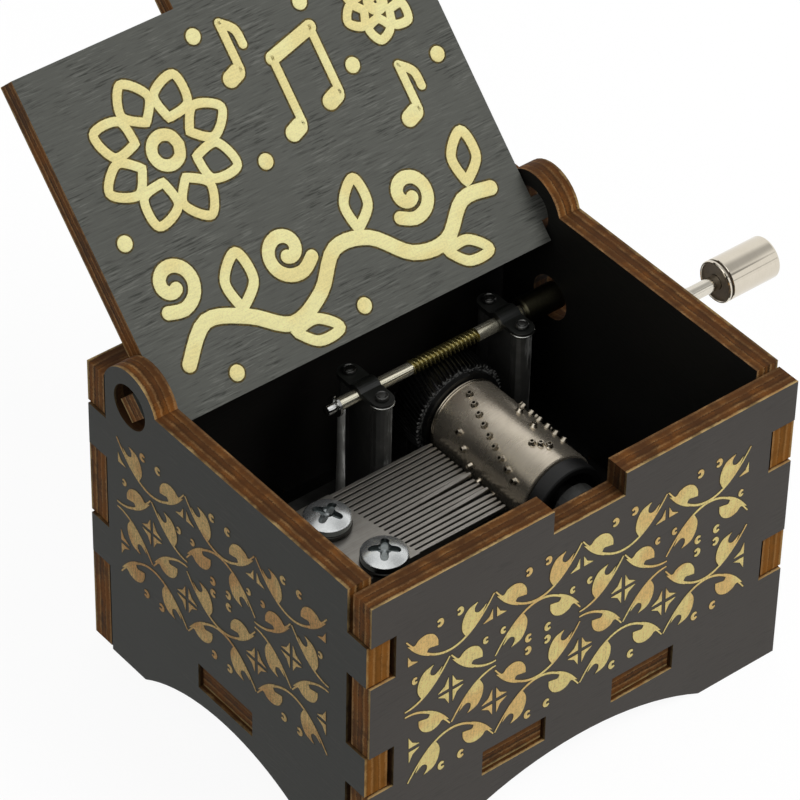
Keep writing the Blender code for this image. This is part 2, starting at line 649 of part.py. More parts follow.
def make_frame():
    """The cast frame: base, comb bed, two shaft pillars and two arbor cheeks."""
    centres = [((BASE_RIGHT - BASE_CORNER), (BASE_BACK - BASE_CORNER), 0),
               (-(BASE_LEFT - BASE_CORNER), (BASE_BACK - BASE_CORNER), 1),
               (-(BASE_LEFT - BASE_CORNER), -(BASE_FRONT - BASE_CORNER), 2),
               ((BASE_RIGHT - BASE_CORNER), -(BASE_FRONT - BASE_CORNER), 3)]
    outline = []
    for x, y, quarter in centres:
        start = quarter * math.pi / 2
        outline += arc((x, y), BASE_CORNER, start, start + math.pi / 2, CORNER_STEPS)
    frame = plate("movement_frame", outline, BASE_BOTTOM, BASE_TOP, CAST_BLACK)
    sink = BASE_THICKNESS / 2
    bed = plate("frame_bed", plate_outline(BED_MARGIN), BASE_TOP - sink,
                COMB_TOP - COMB_THICKNESS - SEAT_GAP)
    boolean(frame, bed, "UNION")
    for side, x in (("left", LEFT_POST_X), ("right", RIGHT_POST_X)):
        web = block(f"frame_web_{side}",
                    (x - WEB_THICKNESS / 2, SHAFT_Y - POST_SPAN / 2, BASE_TOP - sink),
                    (x + WEB_THICKNESS / 2, SHAFT_Y + POST_SPAN / 2, POST_TOP - POST_DROP))
        boolean(frame, web, "UNION")
        for end in (-1, 1):
            post = rod(f"frame_post_{side}_{end + 1}", POST_RADIUS, BASE_TOP - sink, POST_TOP,
                       POST_SIDES)
            place(post, (x, SHAFT_Y + end * POST_SPAN / 2, 0))
            boolean(frame, post, "UNION")
    for name, low, high in cheek_spans():
        cheek = plate(f"frame_cheek_{name}", cheek_outline(), low, high)
        place(cheek, (CYLINDER_X, 0, 0), (math.pi / 2, 0, 0))
        boolean(frame, cheek, "UNION")
    cut_frame(frame)
    return frame


def cheek_spans():
    """Name and reach of each arbor cheek, along -Y as its plate is turned upright."""
    front_face = CYLINDER_FRONT - CAP_LENGTH - CHEEK_GAP
    back_face = GEAR_BACK + CHEEK_GAP
    return [("front", -front_face, -front_face + CHEEK_THICKNESS),
            ("back", -back_face - CHEEK_THICKNESS, -back_face)]


def cheek_outline():
    """A cheek with a spread foot and a round top about the arbor."""
    foot = CHEEK_HALF_WIDTH + CHEEK_FOOT_SPREAD
    bottom = BASE_TOP - BASE_THICKNESS / 2
    top = arc((0, CYLINDER_Z), CHEEK_HALF_WIDTH, 0, math.pi, ROUND_END_STEPS)
    return [(-foot, bottom), (foot, bottom)] + top


def cut_frame(frame):
    """The shaft saddles, the arbor bores and the screw holes in the frame."""
    groove = rod("frame_saddle", SHAFT_RADIUS + RUNNING_GAP, LEFT_POST_X - WEB_THICKNESS,
                 RIGHT_POST_X + WEB_THICKNESS, BORE_SIDES)
    place(groove, (0, SHAFT_Y, SHAFT_HEIGHT), (0, math.pi / 2, 0))
    wide = rod("frame_saddle_right", SHAFT_SHOULDER_RADIUS + RUNNING_GAP,
               RIGHT_POST_X - WEB_THICKNESS, RIGHT_POST_X + WEB_THICKNESS, BORE_SIDES)
    place(wide, (0, SHAFT_Y, SHAFT_HEIGHT), (0, math.pi / 2, 0))
    bore = rod("frame_arbor_bore", ARBOR_RADIUS + RUNNING_GAP, -BASE_BACK, BASE_FRONT, BORE_SIDES)
    place(bore, (CYLINDER_X, 0, CYLINDER_Z), (math.pi / 2, 0, 0))
    tools = [groove, wide, bore]
    for index, (x, y) in enumerate(base_screw_places()):
        hole = rod(f"frame_hole_{index}", BASE_SHANK_RADIUS + SCREW_HOLE_PLAY,
                   BASE_BOTTOM - OVERRUN, BASE_BOTTOM + BASE_SCREW_BITE + SEAT_GAP,
                   SMALL_HOLE_SIDES)
        tools.append(place(hole, (x, y, 0)))
    for side, spot in comb_screw_places().items():
        depth = COMB_TOP - COMB_SHANK_LENGTH - SEAT_GAP
        hole = rod(f"bed_hole_{side}", COMB_SHANK_RADIUS + SCREW_HOLE_PLAY, depth,
                   COMB_TOP + OVERRUN, COMB_HOLE_SIDES)
        tools.append(place(hole, (spot.x, spot.y, 0)))
    socket = rod("thrust_post_socket", THRUST_POST_RADIUS + RUNNING_GAP,
                 BASE_TOP - THRUST_POST_ROOT - SEAT_GAP, BASE_TOP + OVERRUN,
                 THIN_SIDES)
    tools.append(place(socket, (THRUST_POST_X, SHAFT_Y, 0)))
    for x, y in rivet_places().values():
        hole = rod(f"post_hole_{len(tools)}", RIVET_SHANK_RADIUS + RUNNING_GAP,
                   POST_TOP - RIVET_SHANK_LENGTH, POST_TOP + OVERRUN, THIN_SIDES)
        tools.append(place(hole, (x, y, 0)))
    for tool in tools:
        boolean(frame, tool, "DIFFERENCE")


def rivet_places():
    """The four strap rivets, one on each post."""
    half = POST_SPAN / 2
    return {"left_front": (LEFT_POST_X, SHAFT_Y - half), "left_rear": (LEFT_POST_X, SHAFT_Y + half),
            "right_front": (RIGHT_POST_X, SHAFT_Y - half),
            "right_rear": (RIGHT_POST_X, SHAFT_Y + half)}


def make_strap(name, x, bearing_radius):
    """A strap over the shaft: flat pads on two posts and a hump between them."""
    inner = bearing_radius + RUNNING_GAP
    outer = inner + STRAP_THICKNESS
    reach = POST_SPAN / 2 + STRAP_WIDTH / 2
    low = STRAP_BOTTOM - SHAFT_HEIGHT
    high = low + STRAP_THICKNESS
    outer_angle = math.asin(high / outer)
    inner_angle = math.asin(low / inner)
    outline = [(reach, low), (reach, high)]
    outline += arc((0, 0), outer, outer_angle, math.pi - outer_angle, STRAP_ARC_STEPS)
    outline += [(-reach, high), (-reach, low)]
    outline += arc((0, 0), inner, math.pi - inner_angle, inner_angle, STRAP_ARC_STEPS)
    half = STRAP_WIDTH / 2
    strap = plate(name, outline, -half, half, CAST_BLACK)
    place(strap, (x, SHAFT_Y, SHAFT_HEIGHT), (math.pi / 2, 0, math.pi / 2))
    centre = POST_SPAN / 2
    plan = arc((centre, 0), half, -math.pi / 2, math.pi / 2, ROUND_END_STEPS)
    plan += arc((-centre, 0), half, math.pi / 2, 3 * math.pi / 2, ROUND_END_STEPS)
    trim = plate(f"{name}_plan", plan, -outer * 2, outer * 2)
    place(trim, (0, 0, 0), (-math.pi / 2, 0, 0), strap)
    boolean(strap, trim, "INTERSECT")
    for end in (-1, 1):
        hole = rod(f"{name}_hole_{end + 1}", RIVET_SHANK_RADIUS + RUNNING_GAP, -outer * 2,
                   outer * 2, THIN_SIDES)
        place(hole, (end * centre, 0, 0), (-math.pi / 2, 0, 0), strap)
        boolean(strap, hole, "DIFFERENCE")
    return strap


def crown(radius, height):
    """A low crown from its rim to its middle, as (radius, height) points."""
    points = [(radius * wide, height * tall) for wide, tall in CROWN_SHARES]
    return points + [(0, height)]


def make_rivets():
    """Four rivets that hold the straps on the posts."""
    seat = STRAP_BOTTOM + STRAP_THICKNESS + SEAT_GAP
    shank = seat - POST_TOP + RIVET_SHANK_LENGTH - SEAT_GAP
    for side, (x, y) in rivet_places().items():
        profile = [(0, -shank), (RIVET_SHANK_RADIUS, -shank), (RIVET_SHANK_RADIUS, 0),
                   (RIVET_HEAD_RADIUS, 0)]
        profile += crown(RIVET_HEAD_RADIUS, RIVET_HEAD_HEIGHT)
        rivet = turned(f"strap_rivet_{side}", profile, THIN_SIDES, CAST_BLACK)
        place(rivet, (x, y, seat))


def make_base_screws():
    """Four pan-head screws that hold the frame down from under the floor."""
    seat = FLOOR_BOTTOM - SEAT_GAP
    shank = FLOOR_TOP + BASE_SCREW_BITE - seat
    for index, (x, y) in enumerate(base_screw_places()):
        profile = [(0, shank), (BASE_SHANK_RADIUS, shank), (BASE_SHANK_RADIUS, 0),
                   (BASE_SCREW_RADIUS, 0)]
        profile += crown(BASE_SCREW_RADIUS, -BASE_SCREW_HEAD)
        screw = turned(f"base_screw_{index + 1}", profile, SMALL_HEAD_SIDES, CHROME)
        place(screw, (x, y, seat))


def make_thrust_post():
    """The slim post under the shaft's left end, which the clip bears on."""
    top = SHAFT_HEIGHT - SHAFT_RADIUS - RUNNING_GAP
    low = BASE_TOP - THRUST_POST_ROOT
    post = rod("thrust_post", THRUST_POST_RADIUS, low, top, THIN_SIDES, CHROME)
    return place(post, (THRUST_POST_X, SHAFT_Y, 0))


def ring_points(bm, x, radius, sides):
    """One ring of points about the X axis."""
    ring = []
    for index in range(sides):
        angle = 2 * math.pi * index / sides
        ring.append(bm.verts.new((x, radius * math.cos(angle), radius * math.sin(angle))))
    return ring


def bridge(bm, first, second):
    """Join two rings of the same count with faces."""
    count = len(first)
    for index in range(count):
        following = (index + 1) % count
        bm.faces.new((first[index], first[following], second[following], second[index]))


def worm_radius(axial, radius, start, end):
    """Radius of a point of the thread: plain shaft beyond each end of the worm."""
    if axial < start:
        return SHAFT_RADIUS
    if axial > end:
        return SHAFT_SHOULDER_RADIUS
    return radius


def make_worm_shaft(parent):
    """The crank shaft in one piece: end stub, neck, plain shaft, worm and shoulder."""
    bm = bmesh.new()
    start = CYLINDER_X - WORM_LENGTH / 2
    end = CYLINDER_X + WORM_LENGTH / 2
    root = WORM_PITCH_RADIUS - DEDENDUM
    tip = WORM_PITCH_RADIUS + ADDENDUM
    foot = THREAD_FOOT_SHARE * AXIAL_PITCH
    crest = THREAD_TIP_SHARE * AXIAL_PITCH
    breaks = [(-foot / 2, root), (-crest / 2, tip), (crest / 2, tip), (foot / 2, root)]
    # A gap of the thread faces the gear's top tooth, straight below the shaft.
    phase = CYLINDER_X + AXIAL_PITCH / 2 + LEAD / 4
    first = math.floor((start - phase - LEAD) / AXIAL_PITCH)
    last = math.ceil((end - phase) / AXIAL_PITCH)
    columns = []
    for column in range(WORM_SIDES):
        angle = 2 * math.pi * column / WORM_SIDES
        line = []
        for turn in range(first, last + 1):
            for offset, radius in breaks:
                axial = phase + LEAD * column / WORM_SIDES + turn * AXIAL_PITCH + offset
                height = worm_radius(axial, radius, start, end)
                line.append(bm.verts.new((axial, height * math.cos(angle), height * math.sin(angle))))
        columns.append(line)
    rows = len(columns[0])
    rows_in_lead = len(breaks) * WORM_STARTS
    for column in range(WORM_SIDES):
        # One turn on, the thread meets the first column a whole lead further along.
        shift = rows_in_lead if column == WORM_SIDES - 1 else 0
        here = columns[column]
        there = columns[(column + 1) % WORM_SIDES]
        for row in range(rows - 1 - shift):
            bm.faces.new((here[row], here[row + 1], there[row + 1 + shift], there[row + shift]))
    low_edge = [line[0] for line in columns]
    low_seam = [columns[0][row] for row in range(rows_in_lead, -1, -1)]
    close_worm_end(bm, low_edge, low_seam, low_shaft_steps())
    high_edge = [line[-1] for line in columns]
    high_seam = [columns[-1][row] for row in range(rows - 2, rows - 2 - rows_in_lead, -1)]
    close_worm_end(bm, high_edge, high_seam + [columns[0][-1]], high_shaft_steps())
    shaft = new_object("worm_shaft", bm, BRASS, SMOOTH_ANGLE)
    shaft.parent = parent
    return shaft


def low_shaft_steps():
    """X and radius of each step from the worm out to the shaft's left end."""
    neck_right = THRUST_POST_X - THRUST_POST_RADIUS - RUNNING_GAP
    neck_left = neck_right - NECK_LENGTH
    return [(LEFT_POST_X + STRAP_WIDTH, SHAFT_RADIUS), (neck_right, SHAFT_RADIUS),
            (neck_right, NECK_RADIUS), (neck_left, NECK_RADIUS), (neck_left, STUB_RADIUS),
            (neck_left - STUB_LENGTH, STUB_RADIUS)]


def high_shaft_steps():
    """X and radius of each step from the worm to the end inside the coupling."""
    return [(RIGHT_POST_X - STRAP_WIDTH / 2, SHAFT_SHOULDER_RADIUS),
            (SHAFT_END, SHAFT_SHOULDER_RADIUS)]


def close_worm_end(bm, edge, seam, steps):
    """Close the stepped edge of the thread onto a ring, then turn the shaft beyond it."""
    ring = ring_points(bm, steps[0][0], steps[0][1], WORM_SIDES)
    for column in range(WORM_SIDES - 1):
        bm.faces.new((edge[column], edge[column + 1], ring[column + 1], ring[column]))
    bm.faces.new([edge[-1]] + seam + [ring[0], ring[-1]])
    previous = ring
    for x, radius in steps[1:]:
        following = ring_points(bm, x, radius, WORM_SIDES)
        bridge(bm, previous, following)
        previous = following
    bm.faces.new(previous)


def make_gear(parent):
    """The helical wheel under the worm, with its flange and the spigot inside the cylinder."""
    root = GEAR_PITCH_RADIUS - DEDENDUM
    tip = GEAR_TIP_RADIUS
    lead_slope = LEAD / (2 * math.pi * WORM_PITCH_RADIUS)
    step = 2 * math.pi / GEAR_TEETH
    foot = TOOTH_FOOT_SHARE * step
    crest = TOOTH_TIP_SHARE * step
    bm = bmesh.new()
    rings = []
    bands = 2
    for band in range(bands + 1):
        y = GEAR_FRONT + GEAR_WIDTH * band / bands
        twist = (y - SHAFT_Y) * lead_slope / GEAR_PITCH_RADIUS
        ring = []
        for tooth in range(GEAR_TEETH):
            for offset, radius in ((-foot / 2, root), (-crest / 2, tip), (crest / 2, tip),
                                   (foot / 2, root)):
                angle = tooth * step + twist + offset
                ring.append(bm.verts.new((radius * math.sin(angle), y, radius * math.cos(angle))))
        rings.append(ring)
    for near, far in zip(rings, rings[1:]):
        bridge(bm, near, far)
    bm.faces.new(rings[0])
    bm.faces.new(rings[-1])
    gear = new_object("drive_gear", bm, BLACK_NYLON)
    gear.parent = parent
    spigot = CYLINDER_RADIUS - CYLINDER_WALL - SEAT_GAP
    flange_front = CYLINDER_BACK + SEAT_GAP
    flange_root = GEAR_FRONT + FLANGE_WIDTH
    profile = [(0, -flange_root), (FLANGE_RADIUS, -flange_root),
               (FLANGE_RADIUS, -flange_front), (spigot, -flange_front),
               (spigot, -flange_front + SPIGOT_LENGTH), (0, -flange_front + SPIGOT_LENGTH)]
    hub = turned("gear_hub", profile, HUB_SIDES)
    place(hub, (0, 0, 0), (math.pi / 2, 0, 0), parent)
    boolean(gear, hub, "UNION")
    cut_arbor_bore(gear, "gear_bore", parent)
    return gear


def cut_arbor_bore(target, name, parent):
    """A bore for the arbor right through a piece of the cylinder."""
    bore = rod(name, ARBOR_RADIUS + RUNNING_GAP, -BASE_BACK, BASE_FRONT, BORE_SIDES)
    place(bore, (0, 0, 0), (math.pi / 2, 0, 0), parent)
    boolean(target, bore, "DIFFERENCE")


def make_cylinder(parent):
    """The nickel tube with rows of pins, each pin in line with a tine of the comb."""
    inner = CYLINDER_RADIUS - CYLINDER_WALL
    tube = turned("pinned_cylinder",
                  [(inner, -CYLINDER_BACK), (CYLINDER_RADIUS, -CYLINDER_BACK),
                   (CYLINDER_RADIUS, -CYLINDER_FRONT), (inner, -CYLINDER_FRONT)],
                  CYLINDER_SIDES, NICKEL, closed=True)
    place(tube, (0, 0, 0), (math.pi / 2, 0, 0), parent)
    bm = bmesh.new()
    for angle, y in pin_places():
        add_pin(bm, angle, y)
    pins = new_object("cylinder_pins", bm)
    pins.parent = parent
    boolean(tube, pins, "UNION")
    return tube


def pin_places():
    """Angle and Y of each pin, in line with the middle of its tine."""
    tip_x, rear_y, front_y, rear_root, front_root = comb_lines()
    places = []
    for first, step, count, angle, turn in PIN_RUNS:
        for index in range(count):
            lane = first + step * index
            y = front_y + (lane + 1 / 2) * TINE_PITCH
            places.append((math.radians(angle + turn * index), y))
    return places


def add_pin(bm, angle, y):
    """One pin standing square on the tube."""
    outward = Vector((math.cos(angle), 0, math.sin(angle)))
    across = Vector((-math.sin(angle), 0, math.cos(angle)))
    along = Vector((0, 1, 0))
    rings = []
    for distance in (CYLINDER_RADIUS - PIN_ROOT, CYLINDER_RADIUS + PIN_HEIGHT):
        ring = []
        for index in range(PIN_SIDES):
            turn = 2 * math.pi * index / PIN_SIDES
            offset = across * math.cos(turn) * PIN_RADIUS + along * math.sin(turn) * PIN_RADIUS
            ring.append(bm.verts.new(outward * distance + along * y + offset))
        rings.append(ring)
    bridge(bm, rings[0], rings[1])
    bm.faces.new(rings[0])
    bm.faces.new(rings[1])


def make_cap(parent):
    """The black cap in the cylinder's front end, with a recessed face round its hub."""
    spigot = CYLINDER_RADIUS - CYLINDER_WALL - SEAT_GAP
    seat = -CYLINDER_FRONT + SEAT_GAP
    front = seat + CAP_LENGTH
    bore = ARBOR_RADIUS + RUNNING_GAP
    profile = [(bore, seat - SPIGOT_LENGTH), (spigot, seat - SPIGOT_LENGTH), (spigot, seat),
               (CAP_RADIUS, seat), (CAP_RADIUS, front), (CAP_RADIUS - CAP_LIP, front),
               (CAP_RADIUS - CAP_LIP, front - CAP_RECESS), (HUB_RADIUS, front - CAP_RECESS),
               (HUB_RADIUS, front - SEAT_GAP), (bore, front - SEAT_GAP)]
    cap = turned("cylinder_cap", profile, CAP_SIDES, BLACK_NYLON, closed=True)
    return place(cap, (0, 0, 0), (math.pi / 2, 0, 0), parent)


def make_arbor(parent):
    """The steel arbor that carries the cylinder between the cheeks."""
    spans = cheek_spans()
    front = spans[0][2] + ARBOR_END
    back = spans[1][1] - ARBOR_END
    chamfer = ARBOR_RADIUS / 4
    profile = [(0, back), (ARBOR_RADIUS - chamfer, back), (ARBOR_RADIUS, back + chamfer),
               (ARBOR_RADIUS, front - chamfer), (ARBOR_RADIUS - chamfer, front), (0, front)]
    arbor = turned("cylinder_arbor", profile, SMALL_HEAD_SIDES, CHROME)
    return place(arbor, (0, 0, 0), (math.pi / 2, 0, 0), parent)


def make_clip(parent):
    """The open ring that snaps into the shaft's neck and bears on the thrust post."""
    right = THRUST_POST_X - THRUST_POST_RADIUS - RUNNING_GAP - CLIP_GAP
    inner = NECK_RADIUS + RUNNING_GAP
    profile = [(inner, right - CLIP_THICKNESS), (CLIP_RADIUS, right - CLIP_THICKNESS),
               (CLIP_RADIUS, right), (inner, right)]
    clip = turned("shaft_clip", profile, BORE_SIDES, CHROME, closed=True)
    place(clip, (0, 0, 0), (0, math.pi / 2, 0), parent)
    half = CLIP_SLOT / 2
    mouth = block("shaft_clip_mouth", (-CLIP_RADIUS - OVERRUN, -half, right - OVERRUN),
                  (0, half, right + OVERRUN))
    mouth.parent = clip
    boolean(clip, mouth, "DIFFERENCE")
    return clip


def make_coupling(parent):
    """The sleeve that joins the crank's rod to the shaft, inside the wall's hole."""
    inner = CRANK_ROD_RADIUS + SEAT_GAP
    right = HALF_WIDTH + COUPLING_OUTSIDE
    chamfer = SEAT_GAP * 2
    profile = [(inner, COUPLING_LEFT), (COUPLING_RADIUS - chamfer, COUPLING_LEFT),
               (COUPLING_RADIUS, COUPLING_LEFT + chamfer), (COUPLING_RADIUS, right - chamfer),
               (COUPLING_RADIUS - chamfer, right), (inner, right)]
    sleeve = turned("crank_coupling", profile, HEAD_SIDES, CHROME, closed=True)
    return place(sleeve, (0, 0, 0), (0, math.pi / 2, 0), parent)


def crank_offset():
    """Where the knob's rod lies, from the shaft's axis."""
    return Vector((0, -math.sin(CRANK_ANGLE), -math.cos(CRANK_ANGLE))) * CRANK_ARM


def make_crank(parent):
    """The bent rod of the crank, in one piece from the coupling to inside the knob."""
    arm = crank_offset()
    toward = arm.normalized()
    along = Vector((1, 0, 0))
    corner = Vector((HALF_WIDTH + CRANK_REACH, 0, 0))
    tail = SHAFT_END + COUPLING_ROD_GAP
    tip = KNOB_START + KNOB_LENGTH - KNOB_END_WALL - SEAT_GAP
    route = [Vector((tail, 0, 0))]
    route += bend(corner, along, toward)
    route += bend(corner + arm, toward, along)
    route.append(Vector((tip, 0, 0)) + arm)
    data = bpy.data.curves.new("crank_handle", "CURVE")
    data.dimensions = "3D"
    data.bevel_depth = CRANK_ROD_RADIUS
    data.bevel_resolution = 3
    data.use_fill_caps = True
    spline = data.splines.new("POLY")
    spline.points.add(len(route) - 1)
    for point, place_on_route in zip(spline.points, route):
        point.co = (*place_on_route, 1.0)
    slot_name, colour, roughness, metallic = CHROME
    data.materials.append(material(f"crank_handle_{slot_name}", colour, roughness, metallic))
    crank = bpy.data.objects.new("crank_handle", data)
    bpy.context.collection.objects.link(crank)
    crank.parent = parent
    return crank


def bend(corner, incoming, outgoing):
    """Points round a square bend of the crank's rod."""
    centre = corner - incoming * CRANK_BEND + outgoing * CRANK_BEND
    points = []
    for index in range(BEND_STEPS + 1):
        angle = math.pi / 2 * index / BEND_STEPS
        points.append(centre - outgoing * CRANK_BEND * math.cos(angle)
                      + incoming * CRANK_BEND * math.sin(angle))
    return points


def make_knob(parent):
    """The crank's knob: a grooved barrel, closed at its far end."""
    bore = CRANK_ROD_RADIUS + RUNNING_GAP
    edge = KNOB_RADIUS - KNOB_CHAMFER
    groove = KNOB_RADIUS - KNOB_GROOVE
    groove_start, groove_end, ring_end = [KNOB_RING + KNOB_GROOVE * share
                                          for share in KNOB_GROOVE_SHARES]
    depth = KNOB_LENGTH - KNOB_END_WALL
    profile = [(bore, KNOB_FACE_RECESS), (KNOB_RADIUS - KNOB_RIM - KNOB_GROOVE, KNOB_FACE_RECESS),
               (KNOB_RADIUS - KNOB_RIM, 0), (KNOB_RADIUS, KNOB_GROOVE), (KNOB_RADIUS, KNOB_RING),
               (groove, groove_start), (groove, groove_end), (KNOB_RADIUS, ring_end),
               (KNOB_RADIUS, KNOB_LENGTH - KNOB_CHAMFER), (edge, KNOB_LENGTH), (0, KNOB_LENGTH),
               (0, depth), (bore, depth)]
    knob = turned("crank_knob", profile, KNOB_SIDES, CHROME, closed=True)
    return place(knob, (0, 0, 0), (0, math.pi / 2, 0), parent)


def empty(name, location, parent=None):
    """An empty on a joint's axis."""
    made = bpy.data.objects.new(name, None)
    bpy.context.collection.objects.link(made)
    made.location = location
    if parent is not None:
        made.parent = parent
    return made


def move_to_origin():
    """Hang everything on one empty that puts the origin under the box's middle."""
    tops = [item for item in bpy.data.objects if item.parent is None]
    root = empty("music_box", (-BOX_MIDDLE_X, -BOX_MIDDLE_Y, 0))
    for item in tops:
        item.parent = root


def main():
    clear_scene()
    make_case()
    make_lid()
    make_frame()
    make_comb()
    make_strap("shaft_strap_left", LEFT_POST_X, SHAFT_RADIUS)
    make_strap("shaft_strap_right", RIGHT_POST_X, SHAFT_SHOULDER_RADIUS)
    make_rivets()
    make_base_screws()
    make_thrust_post()
    crank_axis = empty("crank_axis", (0, SHAFT_Y, SHAFT_HEIGHT))
    make_worm_shaft(crank_axis)
    make_clip(crank_axis)
    make_coupling(crank_axis)
    make_crank(crank_axis)
    knob_axis = empty("knob_axis", Vector((KNOB_START, 0, 0)) + crank_offset(), crank_axis)
    make_knob(knob_axis)
    cylinder_axis = empty("cylinder_axis", (CYLINDER_X, 0, CYLINDER_Z))
    make_gear(cylinder_axis)
    make_cylinder(cylinder_axis)
    make_cap(cylinder_axis)
    make_arbor(cylinder_axis)
    move_to_origin()


main()
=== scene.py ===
"""Looks of the hand-cranked music box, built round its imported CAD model.

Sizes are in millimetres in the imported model's frame: +X towards the crank, -Y
the front, +Z up. They become metres when a mesh is made. The CAD nodes keep
their places and get their finishes here; the round and fine pieces of the
movement and the crank are replaced by smoother ones of the same size.
"""
from __future__ import annotations

import json
import logging
import math
from dataclasses import dataclass, field
from enum import Enum
from functools import cached_property, partial
from typing import Callable, Iterable, Sequence, Union

import bmesh
import bpy
from mathutils import Matrix, Vector


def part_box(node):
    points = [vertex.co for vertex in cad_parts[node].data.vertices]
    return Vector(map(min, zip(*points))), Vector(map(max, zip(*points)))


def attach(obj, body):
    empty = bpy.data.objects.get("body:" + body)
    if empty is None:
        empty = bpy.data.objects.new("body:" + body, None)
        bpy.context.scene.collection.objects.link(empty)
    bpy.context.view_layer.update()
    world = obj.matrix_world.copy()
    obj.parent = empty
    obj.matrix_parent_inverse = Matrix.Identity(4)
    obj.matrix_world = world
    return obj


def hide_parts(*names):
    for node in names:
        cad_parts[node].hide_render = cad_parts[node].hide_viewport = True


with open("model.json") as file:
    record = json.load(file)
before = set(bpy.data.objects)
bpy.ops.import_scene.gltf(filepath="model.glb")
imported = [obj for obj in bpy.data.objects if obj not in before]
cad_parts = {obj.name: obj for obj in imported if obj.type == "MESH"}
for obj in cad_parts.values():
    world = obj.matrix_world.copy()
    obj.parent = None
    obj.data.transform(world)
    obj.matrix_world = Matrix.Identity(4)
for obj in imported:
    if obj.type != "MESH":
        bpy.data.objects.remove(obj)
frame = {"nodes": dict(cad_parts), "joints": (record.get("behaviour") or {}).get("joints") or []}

log = logging.getLogger("music_box")

MM = 0.001
WELD = MM / 10000
X_AXIS, Y_AXIS, Z_AXIS = Vector((1, 0, 0)), Vector((0, 1, 0)), Vector((0, 0, 1))
FILL, RIM = 0, 1
PRINT_FOOT = 0.004

Point = tuple[float, float]
Outline = list[Vector]
Verts = Sequence[bmesh.types.BMVert]


def shade(code: str) -> tuple[float, ...]:
    """Turn a colour written as six hex digits into linear values, opaque.

    Args:
        code: red, green and blue as two hex digits each.

    Returns:
        Linear red, green and blue, and 1.
    """
    levels = (int(code[start:start + 2], 16) / 255 for start in (0, 2, 4))
    return (*(level / 12.92 if level <= 0.04045 else ((level + 0.055) / 1.055) ** 2.4
              for level in levels), 1.0)


class Slot(Enum):
    """The record's material slots."""

    PLY = "painted_ply"
    CAST = "cast_black"
    COMB = "comb_steel"
    NICKEL = "cylinder_nickel"
    CHROME = "bright_chrome"
    BRASS = "worm_brass"
    NYLON = "black_nylon"
    WASHER = "washer_dark"


class Body(Enum):
    """The bodies that pieces ride on."""

    CASE = "case"
    LID = "lid_leaf"
    CRANK = "crank"
    KNOB = "knob"
    CYLINDER = "cylinder"


class Signal:
    """A shader socket that Python's operators combine with numbers and other sockets."""

    def __init__(self, graph: Graph, socket: bpy.types.NodeSocket) -> None:
        """Keep the socket and the graph that new nodes go into."""
        self.graph = graph
        self.socket = socket

    def math(self, operation: str, *terms: Term) -> Signal:
        """Add a Math node for some values, in order."""
        return self.graph.node("Math", {"operation": operation}, dict(enumerate(terms)))

    def __add__(self, other: Term) -> Signal:
        """Add a value."""
        return self.math("ADD", self, other)

    def __radd__(self, other: Term) -> Signal:
        """The same with the value first."""
        return self.math("ADD", other, self)

    def __sub__(self, other: Term) -> Signal:
        """Take a value away."""
        return self.math("SUBTRACT", self, other)

    def __rsub__(self, other: Term) -> Signal:
        """The same with the value first."""
        return self.math("SUBTRACT", other, self)

    def __mul__(self, other: Term) -> Signal:
        """Multiply by a value."""
        return self.math("MULTIPLY", self, other)

    def __rmul__(self, other: Term) -> Signal:
        """The same with the value first."""
        return self.math("MULTIPLY", other, self)

    def __truediv__(self, other: Term) -> Signal:
        """Divide by a value."""
        return self.math("DIVIDE", self, other)

    def __rtruediv__(self, other: Term) -> Signal:
        """The same with the value first."""
        return self.math("DIVIDE", other, self)

    def __abs__(self) -> Signal:
        """Drop the sign."""
        return self.math("ABSOLUTE", self)

    def most(self, other: Term) -> Signal:
        """The larger of two values."""
        return self.math("MAXIMUM", self, other)

    def over(self, level: float) -> Signal:
        """1 where the value is over a level, else 0."""
        return self.math("GREATER_THAN", self, level)

    def rise(self, low: float, high: float) -> Signal:
        """Go smoothly from 0 at the low level to 1 at the high one."""
        return self.graph.node("MapRange", {"interpolation_type": "SMOOTHSTEP"},
                               {"Value": self, "From Min": low, "From Max": high})


Term = Union[Signal, float]
Settings = dict[str, object]
Inputs = dict[Union[str, int], object]


